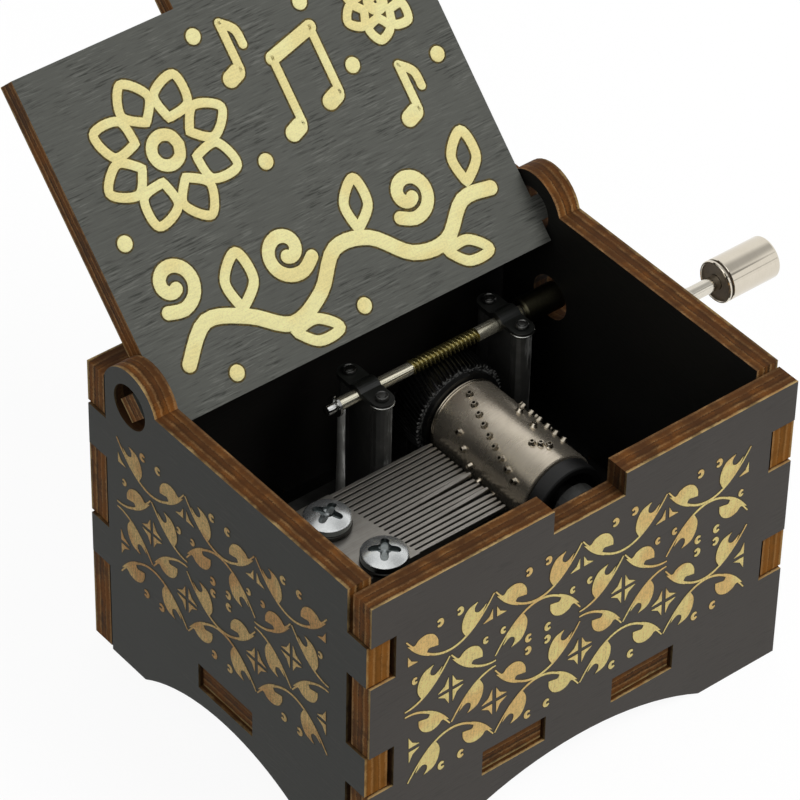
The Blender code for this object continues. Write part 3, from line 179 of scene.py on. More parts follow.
class Graph:
    """A node tree in which values, directions and colours are worked out."""

    def __init__(self, tree: bpy.types.NodeTree) -> None:
        """Start with an empty tree."""
        self.tree = tree
        self.tree.nodes.clear()

    def feed(self, socket: bpy.types.NodeSocket, value: object) -> None:
        """Link a signal to a socket, or set the socket's own number, vector or colour.

        Args:
            socket: the socket.
            value: a signal, number or vector, or a colour as hex digits.
        """
        if isinstance(value, Signal):
            self.tree.links.new(value.socket, socket)
        else:
            socket.default_value = shade(value) if isinstance(value, str) else value

    def add(self, kind: str, settings: Settings, inputs: Inputs) -> bpy.types.Node:
        """Add a node.

        Args:
            kind: the node's type, without ShaderNode.
            settings: its own settings, set first; "stops" holds a ramp's places and colours.
            inputs: values or signals for its sockets.

        Returns:
            The node.
        """
        made = self.tree.nodes.new("ShaderNode" + kind)
        for name, value in settings.items():
            if name == "stops":
                self.set_stops(made.color_ramp, value)
            else:
                setattr(made, name, value)
        for name, value in inputs.items():
            self.feed(made.inputs[name], value)
        return made

    def node(self, kind: str, settings: Settings, inputs: Inputs,
             output: Union[str, int] = 0) -> Signal:
        """Add a node, and take its first output or the one that is named."""
        return Signal(self, self.add(kind, settings, inputs).outputs[output])

    @staticmethod
    def set_stops(ramp: bpy.types.ColorRamp, stops: Sequence[tuple[float, str]]) -> None:
        """Give a colour ramp its stops.

        Args:
            ramp: the ramp.
            stops: its places and colours, in order.
        """
        while len(ramp.elements) < len(stops):
            ramp.elements.new(1.0)
        for element, (place, colour) in zip(ramp.elements, stops):
            element.position = place
            element.color = shade(colour)

    def vector(self, operation: str, first: object, second: object,
               output: Union[str, int] = 0) -> Signal:
        """Combine two vectors with a Vector Math node."""
        return self.node("VectorMath", {"operation": operation}, {0: first, 1: second}, output)

    def along(self, way: Signal, axis: Sequence[float]) -> Signal:
        """How far a direction or a place reaches along an axis."""
        return self.vector("DOT_PRODUCT", way, tuple(axis), "Value")

    def mix(self, factor: Term, first: object, second: object) -> Signal:
        """Go from one colour to another."""
        return self.node("Mix", {"data_type": "RGBA"}, {0: factor, 6: first, 7: second}, 2)

    def tint(self, colour: Signal, factor: Term) -> Signal:
        """Multiply a colour or a place by a value."""
        return self.node("VectorMath", {"operation": "SCALE"}, {0: colour, "Scale": factor})

    def shown(self, shine: Term = 1.0) -> Signal:
        """1 for what the camera sees, itself or through glass, and a level for what metal shows.

        Args:
            shine: the level for what metal shows.

        Returns:
            The level.
        """
        camera, glossy, through = (self.node("LightPath", {}, {}, f"Is {kind} Ray")
                                   for kind in ("Camera", "Glossy", "Transmission"))
        return camera.most(glossy * shine).most(through)

    @cached_property
    def spot(self) -> Signal:
        """The point's place in the model's frame, in millimetres."""
        return self.tint(self.node("TexCoord", {}, {}, "Object"), 1 / MM)

    @cached_property
    def facing(self) -> Signal:
        """The surface's direction in the model's frame."""
        return self.node("TexCoord", {}, {}, "Normal")

    def noise(self, scale: float, detail: float = 2.0, roughness: float = 0.5,
              stretch: Sequence[float] = (1, 1, 1)) -> Signal:
        """Noise about 0.5, which may be drawn out along an axis.

        Args:
            scale: how fast it changes, per millimetre.
            detail: how many finer layers it has.
            roughness: how strong they are.
            stretch: how much faster it changes along each axis.

        Returns:
            The noise.
        """
        where = self.vector("MULTIPLY", self.spot, tuple(stretch))
        return self.node("TexNoise", {}, {"Vector": where, "Scale": scale, "Detail": detail,
                                          "Roughness": roughness})

    def bump(self, height: Signal, depth: float) -> Signal:
        """Raise and sink the surface by up to a depth in millimetres."""
        return self.node("Bump", {}, {"Height": height, "Distance": depth * MM, "Strength": 1.0})


class Finish(Graph):
    """The node tree of one material round a Principled shader."""

    def __init__(self, name: str) -> None:
        """Start a material with a shader and an output.

        Args:
            name: the material's name.
        """
        self.material = bpy.data.materials.new(name)
        self.material.use_nodes = True
        super().__init__(self.material.node_tree)
        self.shader = self.add("BsdfPrincipled", {}, {})
        self.plain = Signal(self, self.shader.outputs[0])
        self.output = self.add("OutputMaterial", {}, {"Surface": self.plain})

    def set(self, **values: object) -> None:
        """Feed the shader's sockets, named with underscores for spaces."""
        for name, value in values.items():
            self.feed(self.shader.inputs[name.replace("_", " ")], value)


@dataclass(frozen=True)
class Look:
    """A named finish. Its cover method sets the shader's sockets."""

    name: str

    def material(self) -> bpy.types.Material:
        """The finish's material, which is made once.

        Returns:
            The material.
        """
        if self.name not in bpy.data.materials:
            self.cover(Finish(self.name))
        return bpy.data.materials[self.name]


@dataclass(frozen=True)
class PaintedPly(Look):
    """Charcoal paint on a laser-cut board, and the scorched veneers of its edges."""

    outward: Vector
    outer: float
    thickness: float
    grain: Vector
    paint: str
    streak: str = "56534e"
    thread: str = "35332f"
    inner_painted_shade: float = 0.12
    grain_depth: float = 0.3
    middle: float = 0.0
    half: float = 0.0
    notch_top: float = 0.0
    end_warmth: float = 0.0
    pale_rim: float = 0.0
    edge_shade_level: float = 1.0
    hole_char_and_shade: tuple = ()

    def cover(self, graph: Finish) -> None:
        """Paint the faces and show the veneers round them.

        Args:
            graph: the material's graph.
        """
        depth = (self.outer - graph.along(graph.spot, self.outward)) / self.thickness
        square = graph.along(graph.facing, self.outward)
        edge = 1.0 - abs(square).over(0.5)
        paint, relief = self.painted(graph)
        # Inner faces get their paint darkened: painted shade inside the box. The lid passes 1 and
        # keeps its paint.
        paint = graph.tint(paint, 1.0 - (1.0 - self.inner_painted_shade) * (0.0 - square).over(0.5))
        wood, fibres = self.scorched(graph, depth)
        above = graph.along(graph.facing, Z_AXIS).rise(0.3, 0.8)
        stain = graph.noise(0.4, 3.0, 0.6).rise(0.3, 0.6)
        kept = self.pale_rim * (1.0 - depth.rise(0.05, 0.15))
        wood = graph.mix(above * (0.3 + 0.5 * stain) * (1.0 - kept), wood, "472c17")
        # The floor panel's edges, at the bottom of the box, are darkened: painted shade.
        if self.edge_shade_level < 1.0:
            wood = graph.tint(wood, graph.noise(1.6).rise(0.2, 0.9) * 0.3 + self.edge_shade_level)
        # Sideways faces of the notches below the notch top are darkened: partly burnt wood, partly
        # painted shade in the recesses of the finger joints.
        if self.half > 0:
            sideways = abs(graph.along(graph.facing, self.grain)).over(0.7)
            off = abs(graph.along(graph.spot, self.grain) - self.middle)
            inner = (self.half - 0.5 - off).over(0.0)
            low = (self.notch_top - graph.along(graph.spot, Z_AXIS)).over(0.0)
            wood = graph.tint(wood, 1.0 - 0.75 * inner * low * sideways)
            wood = graph.mix((1.0 - inner) * sideways * self.end_warmth, wood, "a3691f")
        graph.set(Base_Color=graph.mix(edge, paint, wood),
                  Roughness=0.52 + 0.2 * edge + 0.1 * (relief - 0.5),
                  Normal=graph.bump(relief + edge * (fibres - relief), 0.03),
                  Specular_IOR_Level=0.15)

    def painted(self, graph: Finish) -> tuple[Signal, Signal]:
        """Paint over raised fibres, which show in patches as light and dark dashes.

        Args:
            graph: the material's graph.

        Returns:
            The paint's colour and its relief.
        """
        dash = graph.noise(1.3, 3.0, 0.6, grained(self.grain, 0.26, 3.4))
        patch = graph.noise(0.16).rise(0.4, 0.6)
        speck = graph.noise(6.0, 1.0).rise(0.7, 0.78)
        depth = (0.25 + 0.75 * patch) * self.grain_depth
        colour = graph.mix((1.0 - dash.rise(0.34, 0.47)) * depth, self.paint, self.thread)
        colour = graph.mix(dash.rise(0.55, 0.64) * depth, colour, self.streak)
        colour = graph.tint(colour, 0.9 + 0.2 * graph.noise(0.09))
        return graph.mix(speck * 0.3, colour, self.streak), dash

    def scorched(self, graph: Finish, depth: Signal) -> tuple[Signal, Signal]:
        """Edge of the board: pale veneers, a dark core and burnt glue lines, all gritty.

        Args:
            graph: the material's graph.
            depth: 0 at the outer face, 1 at the inner one.

        Returns:
            The edge's colour, and its fibres' relief.
        """
        grit = graph.noise(4.6, 3.0, 0.7)
        fibre = graph.noise(1.3, 3.0, 0.6, [0.3 + 2.2 * abs(part) for part in self.outward])
        tone = graph.noise(0.3, 3.0, 0.6)
        wavering = depth + 0.12 * (graph.noise(0.4) - 0.5) + 0.2 * (grit - 0.5)
        wood = graph.node("ValToRGB", {"stops": EDGE_VENEERS}, {0: wavering})
        wood = graph.mix(tone.rise(0.5, 0.64) * 0.4, wood, "8a5320")
        wood = graph.mix((1.0 - tone.rise(0.36, 0.48)) * 0.55, wood, "33200f")
        wood = graph.tint(wood, 0.3 + 0.55 * fibre + 0.95 * grit)
        across = tuple(1.0 - abs(part) for part in self.outward)
        # Round the holes the edge is darkened: burnt char, and painted shade inside the holes.
        for centre, radius, strength in self.hole_char_and_shade:
            away = graph.vector("SUBTRACT", graph.spot, tuple(centre))
            reach = graph.vector("LENGTH", graph.vector("MULTIPLY", away, across), (0, 0, 0),
                                 "Value")
            wood = graph.mix((1.0 - reach.over(radius)) * strength, wood, "120a05")
        return wood, 0.5 * fibre + 0.5 * grit


EDGE_VENEERS = ((0.0, "c3a873"), (0.08, "a5885a"), (0.12, "4a2c16"), (0.18, "754a23"),
                (0.28, "7d5127"), (0.33, "a98356"), (0.37, "8f693f"), (0.41, "33200f"),
                (0.5, "62401f"), (0.59, "724721"), (0.63, "2b190c"), (0.67, "9c7549"),
                (0.73, "7b5026"), (0.88, "6b4522"), (0.95, "ad875a"), (1.0, "947049"))


def grained(grain: Vector, slow: float, fast: float) -> list[float]:
    """How fast a wood's noise changes along each axis: slowly along its grain."""
    return [slow if abs(part) > 0.5 else fast for part in grain]


@dataclass(frozen=True)
class LaserPrint(Look):
    """Bare wood where the paint is burnt away: pale, with warmer patches and grain."""

    pale: str
    warm: str
    warmth: float
    grain: Vector
    grit: float = 0.9

    def cover(self, graph: Finish) -> None:
        """Grain the wood and warm it in patches.

        Args:
            graph: the material's graph.
        """
        fibre = graph.noise(1.9, 3.0, 0.6, grained(self.grain, 0.25, 2.6))
        patch = graph.noise(0.14).rise(0.44, 0.58)
        fleck = graph.noise(4.4, 2.0, 0.7)
        colour = graph.mix(patch * self.warmth, self.pale, self.warm)
        colour = graph.tint(colour, 1.0 + self.grit * (fibre - 0.5)
                            + 1.4 * self.grit * (fleck - 0.5))
        colour = graph.mix(fleck.rise(0.6, 0.72) * self.grit * 0.5, colour, self.warm)
        graph.set(Base_Color=colour, Roughness=0.58 + 0.2 * fibre,
                  Normal=graph.bump(fibre, 0.03), Specular_IOR_Level=0.3)


@dataclass(frozen=True)
class Scorch(Look):
    """The burnt rim round a print."""

    dark: str = "2a2214"
    light: str = "544524"

    def cover(self, graph: Finish) -> None:
        """Mix two soots.

        Args:
            graph: the material's graph.
        """
        soot = graph.noise(2.4, 3.0, 0.6)
        graph.set(Base_Color=graph.mix(soot.rise(0.35, 0.7), self.dark, self.light),
                  Roughness=0.6 + 0.3 * soot)


class Brushing(Enum):
    """Which way the fine scratches of a metal run."""

    NONE = (1.0, 1.0, 1.0)
    ALONG_X = (0.06, 3.0, 3.0)
    ROUND_X = (5.0, 0.12, 0.12)
    ROUND_Y = (0.12, 5.0, 0.12)
    ROUND_Z = (0.12, 0.12, 5.0)


@dataclass(frozen=True)
class Metal(Look):
    """Plated, cut or blued metal."""

    bright: str
    dull: str
    roughness: float
    brushing: Brushing = Brushing.NONE
    spread: float = 0.12
    scratch: float = 0.004
    metallic: float = 1.0

    def cover(self, graph: Finish) -> None:
        """Haze and brush the metal.

        Args:
            graph: the material's graph.
        """
        hair = graph.noise(2.6, 4.0, 0.6, self.brushing.value)
        haze = graph.noise(0.45, 3.0, 0.6)
        graph.set(Base_Color=graph.mix(0.6 * hair + 0.4 * haze, self.bright, self.dull),
                  Metallic=self.metallic, Normal=graph.bump(hair, self.scratch),
                  Roughness=self.roughness + self.spread * (haze - 0.5)
                  + 0.5 * self.spread * hair)


@dataclass(frozen=True)
class Satin(Look):
    """Blackened castings and moulded plastic, with light streaks down the front-right sides, which
    face the key lamp: painted highlight, partly wear.
    """

    colour: str
    worn: str
    roughness: float
    orange_peel: float = 0.01
    scuff_and_sheen: float = 0.0
    scuff_and_glint_colour: str = "8a8a87"
    scuff_and_sheen_from: float = -10.0
    glint_band: Point = (0.0, 0.0)

    def cover(self, graph: Finish) -> None:
        """Haze the black, and paint highlight streaks down its sides and glints in one band.

        Args:
            graph: the material's graph.
        """
        peel = graph.noise(3.0, 3.0, 0.6)
        haze = graph.noise(0.5, 3.0, 0.65)
        y = graph.along(graph.spot, Y_AXIS)
        colour = graph.mix(haze.rise(0.4, 0.8) * 0.6, self.colour, self.worn)
        if self.scuff_and_sheen > 0:
            # Light streaks on the sides facing the key lamp: painted highlight, partly wear.
            sheen_streaks = graph.noise(1.1, 4.0, 0.7, (1.5, 1.5, 0.22)).rise(0.47, 0.62)
            side = graph.along(graph.facing, (0.5, -0.85, 0.0)).rise(0.45, 0.95)
            colour = graph.mix(sheen_streaks * side * y.over(self.scuff_and_sheen_from) * self.scuff_and_sheen, colour,
                               self.scuff_and_glint_colour)
        start, end = self.glint_band
        # A speckled lighter band across Y, such as the wheel's tooth edges: painted glints.
        if end > start:
            band = y.over(start) * (end - y).over(0.0)
            colour = graph.mix(band * peel.rise(0.44, 0.58) * 0.85, colour, self.scuff_and_glint_colour)
        graph.set(Base_Color=colour, Normal=graph.bump(peel, self.orange_peel),
                  Roughness=self.roughness + 0.2 * (haze - 0.5) + 0.1 * (peel - 0.5))


def stand(name: str, data: bpy.types.ID) -> bpy.types.Object:
    """Put a new object into the scene.

    Args:
        name: the object's name.
        data: its mesh, light or camera.

    Returns:
        The object.
    """
    made = bpy.data.objects.new(name, data)
    bpy.context.scene.collection.objects.link(made)
    return made


def polish(mesh: bpy.types.Mesh, angle: float = 35.0) -> None:
    """Shade a mesh smooth, but for edges sharper than an angle in degrees."""
    mesh.shade_smooth()
    mesh.set_sharp_from_angle(angle=math.radians(angle))


def left(way: Vector) -> Vector:
    """A flat direction turned a quarter to the left."""
    return Vector((-way.y, way.x))


def heading(points: Sequence[Vector], index: int, closed: bool = False) -> Vector:
    """Which way a line of points runs at one of them.

    Args:
        points: the line.
        index: which of its points.
        closed: whether its last point is followed by the first.

    Returns:
        A direction of length 1.
    """
    last = len(points) - 1
    if closed:
        return (points[(index + 1) % len(points)] - points[index - 1]).normalized()
    return (points[min(index + 1, last)] - points[max(index - 1, 0)]).normalized()


class Draft:
    """A mesh in the making, in millimetres. Its drawing methods return the draft itself."""

    def __init__(self) -> None:
        """Start with no faces."""
        self.bm = bmesh.new()

    def ring(self, points: Iterable[Vector]) -> Verts:
        """Add a ring of points."""
        return [self.bm.verts.new(point * MM) for point in points]

    def circle(self, centre: Vector, side: Vector, other: Vector,
               radius: Union[float, Callable[[float], float]], sides: int) -> Verts:
        """Add a round ring.

        Args:
            centre: its middle.
            side: the direction in which it starts.
            other: the direction that it turns to.
            radius: its radius, or its radius at each angle.
            sides: how many points it has.

        Returns:
            Its vertices.
        """
        angles = [2 * math.pi * index / sides for index in range(sides)]
        reach = radius if callable(radius) else lambda angle: radius
        return self.ring(centre + reach(angle) * (side * math.cos(angle) + other * math.sin(angle))
                         for angle in angles)

    def skin(self, rings: Sequence[Verts], slots: Sequence[int] = (0,), closed: bool = False,
             ends: bool = True) -> Draft:
        """Join rings into a tube.

        Args:
            rings: rings of one count, or single points.
            slots: each band's material; the last serves the rest too.
            closed: whether the last ring joins the first.
            ends: whether an open tube's ends get a face.

        Returns:
            The draft.
        """
        bands = list(zip(rings, [*rings[1:], rings[0]] if closed else rings[1:]))
        for index, pair in enumerate(bands):
            for at in range(max(map(len, pair))):
                near, far = pair
                corners = [near[at % len(near)], near[(at + 1) % len(near)],
                           far[(at + 1) % len(far)], far[at % len(far)]]
                face = self.bm.faces.new(list(dict.fromkeys(corners)))
                face.material_index = slots[min(index, len(slots) - 1)]
        if ends and not closed:
            for end in (0, -1):
                self.bm.faces.new(rings[end]).material_index = slots[end]
        return self

    def turn(self, profile: Sequence[Point], origin: Vector, along: Vector, sides: int,
             closed: bool = False, second: Sequence[int] = ()) -> Draft:
        """Turn a profile of (radius, distance) points round a line.

        Args:
            profile: the points, in order; a radius of 0 lies on the line.
            origin: where the distances start.
            along: the line's direction.
            sides: facets in one turn.
            closed: whether the last point joins the first, as in a ring.
            second: which bands, counted from 0, get the second material.

        Returns:
            The draft.
        """
        side = along.orthogonal().normalized()
        rings = [self.circle(origin + along * distance, side, along.cross(side), radius,
                             sides if radius > WELD else 1) for radius, distance in profile]
        slots = [int(index in second) for index in range(len(rings))]
        return self.skin(rings, slots, closed, ends=False)

    def sweep(self, route: Sequence[Vector], radius: float, sides: int) -> Draft:
        """Draw a round bar along a route, with flat ends.

        Args:
            route: the middle of the bar.
            radius: its radius.
            sides: facets round it.

        Returns:
            The draft.
        """
        rings = []
        upright = Z_AXIS
        for index, point in enumerate(route):
            ahead = heading(route, index)
            side = ahead.cross(upright)
            if side.length < 0.1:
                side = ahead.cross(X_AXIS)
            side.normalize()
            upright = side.cross(ahead)
            rings.append(self.circle(point, side, upright, radius, sides))
        return self.skin(rings)

    def bare(self, name: str) -> bpy.types.Object:
        """Turn the draft into an object without a finish.

        Args:
            name: the object's name.

        Returns:
            The object.
        """
        bmesh.ops.recalc_face_normals(self.bm, faces=self.bm.faces)
        mesh = bpy.data.meshes.new(name)
        self.bm.to_mesh(mesh)
        self.bm.free()
        return stand(name, mesh)

    def piece(self, stem: str, ending: str, body: Body, slot: Slot, *looks: Look,
              smooth: float = 35.0) -> bpy.types.Object:
        """Turn the draft into a piece that rides on a body.

        Args:
            stem: the start of its name; where that is a CAD node, the piece replaces it.
            ending: the end of its name.
            body: what it moves with.
            slot: the record's slot that its finish belongs to; not used.
            looks: its finishes, in the order of the faces' slots.
            smooth: edges sharper than this many degrees stay sharp.

        Returns:
            The piece.
        """
        bmesh.ops.remove_doubles(self.bm, verts=self.bm.verts, dist=WELD)
        made = self.bare(f"{stem}_{ending}")
        for look in looks:
            made.data.materials.append(look.material())
        polish(made.data, smooth)
        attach(made, body.value)
        if stem in frame["nodes"]:
            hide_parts(stem)
        log.info("%s: %d faces, rides on %s", made.name, len(made.data.polygons), body.value)
        return made


def carve(piece: bpy.types.Object, draft: Draft) -> None:
    """Take a draft's volume out of a piece.

    Args:
        piece: the piece.
        draft: the volume, which is used up.
    """
    cutter = draft.bare("cutter")
    step = piece.modifiers.new("cut", "BOOLEAN")
    step.operation = "DIFFERENCE"
    step.object = cutter
    step.solver = "EXACT"
    bpy.context.view_layer.update()
    graph = bpy.context.evaluated_depsgraph_get()
    mesh = bpy.data.meshes.new_from_object(piece.evaluated_get(graph))
    piece.modifiers.remove(step)
    piece.data = mesh
    polish(mesh)
    bpy.data.objects.remove(cutter)


def cut_cross(piece: bpy.types.Object, top: Vector, up: int, size: Sequence[float],
              angle: float) -> None:
    """Cut a cross recess into a screw's head, with a deeper pit in its middle.

    Args:
        piece: the screw; its second finish lines the recess.
        top: the top of its head.
        up: 1 where the head looks up, -1 where it looks down.
        size: the cross's length, its arms' width and its depth.
        angle: how far it is turned, in degrees.
    """
    length, width, depth = size
    for quarter in (0, 90):
        turn = math.radians(angle + quarter)
        ahead = Vector((math.cos(turn), math.sin(turn), 0))
        side = left(ahead).to_3d()
        draft = Draft()
        rings = []
        for level, far, wide in ((0.6, 1.1, 1.15), (-depth, 0.85, 0.75)):
            half = width / 2 * wide
            bow = arc((length / 2 * far - half, 0), half, half, -90, 90, 5)
            rings.append(draft.ring(top + Z_AXIS * up * level + end * (ahead * x + side * y)
                                    for end in (1, -1) for x, y in bow))
        carve(piece, draft.skin(rings, (1,)))
    pit = [(0, 0.6), (width, 0.6), (width * 0.82, -depth * 0.6), (width * 0.3, -depth * 1.25),
           (0, -depth * 1.25)]
    carve(piece, Draft().turn(pit, top, Z_AXIS * up, 16, second=range(4)))


def span(node: str) -> tuple[Vector, Vector]:
    """Lowest and highest corner of a CAD node, in millimetres."""
    low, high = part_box(node)
    return low / MM, high / MM


def foot(node: str) -> Vector:
    """The place on the ground under a CAD node's middle."""
    low, high = span(node)
    return Vector(((low.x + high.x) / 2, (low.y + high.y) / 2, 0))


def joint(name: str) -> dict:
    """A joint's row in the frame."""
    return next(item for item in frame["joints"] if item["name"] == name)


def joint_place(name: str) -> Vector:
    """A point on a joint's axis, in millimetres."""
    return Vector(joint(name)["pos_m"]) / MM


def dress(node: str, look: Look, rounding: float = 0.0) -> None:
    """Give a CAD node its finish, and soften its edges where asked.

    Args:
        node: the node's name.
        look: its finish.
        rounding: width of the edges' bevel in millimetres, or 0.
    """
    item = frame["nodes"][node]
    item.data.materials.clear()
    item.data.materials.append(look.material())
    if rounding > 0:
        item.modifiers.new("weld", "WELD").merge_threshold = WELD
        bevel = item.modifiers.new("soft edges", "BEVEL")
        bevel.width = rounding * MM
        bevel.segments = 2
        bevel.limit_method = "ANGLE"
        bevel.angle_limit = math.radians(40)
    log.info("%s: dressed with %s", node, look.name)


def arc(centre: Point, wide: float, tall: float, start: float, end: float, steps: int) -> Outline:
    """Points of an elliptical arc.

    Args:
        centre: its centre.
        wide: its first half axis.
        tall: its second half axis.
        start: the angle that it starts at, in degrees.
        end: the angle that it ends at.
        steps: pieces that it is cut into.

    Returns:
        The points, ends included.
    """
    angles = [math.radians(start + (end - start) * step / steps) for step in range(steps + 1)]
    return [Vector((centre[0] + wide * math.cos(angle), centre[1] + tall * math.sin(angle)))
            for angle in angles]


def spline(points: Sequence[Point], steps: int) -> Outline:
    """Pass a smooth curve through points.

    Args:
        points: the points, two or more.
        steps: pieces between two neighbours.

    Returns:
        The curve's points, ends included.
    """
    knots = [Vector(point) for point in (points[0], *points, points[-1])]
    made = []
    for before, start, end, after in zip(knots, knots[1:], knots[2:], knots[3:]):
        for step in range(steps):
            share = step / steps
            made.append((2 * start + (end - before) * share
                         + (2 * before - 5 * start + 4 * end - after) * share ** 2
                         + (3 * start - before - 3 * end + after) * share ** 3) / 2)
    return made + knots[-1:]


def shape(runs: Sequence[Sequence[Point]], steps: int = 4) -> Outline:
    """A closed outline of smooth runs that meet in corners."""
    return [point for run in runs for point in spline(run, steps)[:-1]]


def ribbon(points: Outline, widths: Callable[[float], float]) -> Outline:
    """A closed outline along a curve.

    Args:
        points: the curve.
        widths: the ribbon's width at each share of the curve's length, from 0 to 1.

    Returns:
        The outline, there and back.
    """
    halves = [left(heading(points, index)) * widths(index / (len(points) - 1)) / 2
              for index in range(len(points))]
    back = [point - half for point, half in zip(points, halves)]
    return [point + half for point, half in zip(points, halves)] + back[::-1]


def area(outline: Outline) -> float:
    """Signed area of an outline, positive if it runs anticlockwise."""
    return sum(here.cross(after) for here, after in zip(outline, outline[1:] + outline[:1])) / 2


def grown(outline: Outline, margin: float) -> Outline:
    """Push an outline outwards by a small margin.

    Args:
        outline: the outline to grow.
        margin: how far each side moves.

    Returns:
        The grown outline, of the same count.
    """
    sense = -1 if area(outline) > 0 else 1
    made = []
    for before, here, after in zip(outline[-1:] + outline, outline, outline[1:] + outline[:1]):
        leaving = (after - here).normalized()
        normal = left((here - before).normalized() + leaving) * sense
        normal.normalize()
        square = left(leaving) * sense
        made.append(here + normal * margin / max(normal.dot(square), 0.5))
    return made


@dataclass(frozen=True)
class Face:
    """A flat face that carries a print: its middle, and the directions across and up it."""

    origin: Vector
    across: Vector
    up: Vector

    def point(self, place: Sequence[float], height: float) -> Vector:
        """A place on the face, some height off it."""
        outward = self.across.cross(self.up)
        return self.origin + self.across * place[0] + self.up * place[1] + outward * height


class Print(Draft):
    """Flat shapes laid on a face: pale fills over slightly wider burnt rims."""

    rim: float = 0.1
    rim_height: float = 0.012
    fill_height: float = 0.045
    height_step: float = 0.0016
    height_steps: int = 14

    def __init__(self, face: Face) -> None:
        """Start a print on a face.

        Args:
            face: where it lies.
        """
        super().__init__()
        self.face = face
        self.count = 0

    def lay(self, outline: Outline) -> None:
        """Add one closed shape with its rim, a hair higher or lower than its neighbours.

        Args:
            outline: the shape, in millimetres about the face's middle.
        """
        step = self.height_step * (self.count % self.height_steps)
        self.slab(outline, self.fill_height + step, FILL)
        self.slab(grown(outline, self.rim), self.rim_height + step, RIM)
        self.count += 1

    def slab(self, outline: Outline, height: float, slot: int) -> None:
        """Add a thin closed slab with the given outline.

        Args:
            outline: its outline.
            height: how proud it stands.
            slot: the faces' material.
        """
        if area(outline) < 0:
            outline = outline[::-1]
        self.skin([self.ring(self.face.point(place, level) for place in outline)
                   for level in (PRINT_FOOT, height)], (slot,))


class Half(Enum):
    """Which limbs of an arch of the scroll are drawn."""

    WHOLE = (-1, 1)
    LEFT = (-1,)
    RIGHT = (1,)


@dataclass(frozen=True)
class Scroll:
    """One arch of the leaf scroll: a bowed stem with a hooked leaf on each limb."""

    reach: float = 6.15
    stub: float = 0.2
    fall: float = 0.128
    stem: float = 0.3
    tip: float = 0.12
    near_leaf: tuple = (
        ((-2.1, -0.75), (-1.62, -1.9), (-1.75, -3.3), (-2.5, -4.5), (-3.85, -4.9)),
        ((-3.85, -4.9), (-3.42, -4.3), (-3.45, -3.6), (-4.1, -3.25), (-5.05, -3.9)),
        ((-5.05, -3.9), (-4.2, -2.35), (-3.1, -1.3), (-2.1, -0.55)))
    far_leaf: tuple = (
        ((2.85, -0.95), (3.3, -1.55), (3.05, -2.08), (2.4, -1.95), (1.74, -1.8)),
        ((1.74, -1.8), (1.78, -2.75), (2.35, -3.8), (3.4, -4.35), (4.45, -4.15), (5.05, -3.65),
         (6.0, -4.05)),
        ((6.0, -4.05), (5.1, -2.75), (4.05, -1.65), (2.85, -0.8)))
    drop_spots: tuple = ((-1.35, -5.05), (1.45, -5.0))

    def outlines(self, half: Half) -> list[Outline]:
        """The arch's closed shapes about its top, with two small rings under a whole arch.

        Args:
            half: which limbs are drawn.

        Returns:
            The shapes, in millimetres.
        """
        start, end = (side * (self.reach if side in half.value else self.stub)
                      for side in (-1, 1))
        steps = 22 if half is Half.WHOLE else 12
        places = [start + (end - start) * step / steps for step in range(steps + 1)]
        made = [ribbon([Vector((x, -self.fall * x * x)) for x in places], self.thickness)]
        made += [shape(self.near_leaf if side < 0 else self.far_leaf) for side in half.value]
        if half is Half.WHOLE:
            made += [crescent(spot, 0.52, 0.62) for spot in self.drop_spots]
        return made

    def thickness(self, share: float) -> float:
        """How thick the stem is at a share of its length."""
        bulge = math.sin(math.pi * min(max(share, 0.02), 0.98)) ** 0.5
        return self.tip + (self.stem - self.tip) * bulge


def crescent(centre: Point, wide: float, tall: float) -> Outline:
    """A thick open ring, like a comma."""
    inner = arc((centre[0] + 0.12, centre[1]), 0.34 * wide, 0.4 * tall, 40, 325, 14)
    return arc(centre, wide, tall, 40, 325, 14) + inner[::-1]


def petals(centre: Point, gap: float, wide: float, tall: float,
           quarters: Sequence[Point]) -> list[Outline]:
    """Hollow-sided triangles round a point, split by a cross.

    Args:
        centre: the point.
        gap: half the width of the cross between them.
        wide: each triangle's width.
        tall: its height.
        quarters: signs of the quarters that are drawn.

    Returns:
        One outline for each triangle.
    """
    corners = ((0, 0), (wide, 0), (0.36 * wide, 0.36 * tall), (0, tall))
    return [[Vector((centre[0] + right * (gap + x), centre[1] + up * (gap + y)))
             for x, y in corners] for right, up in quarters]


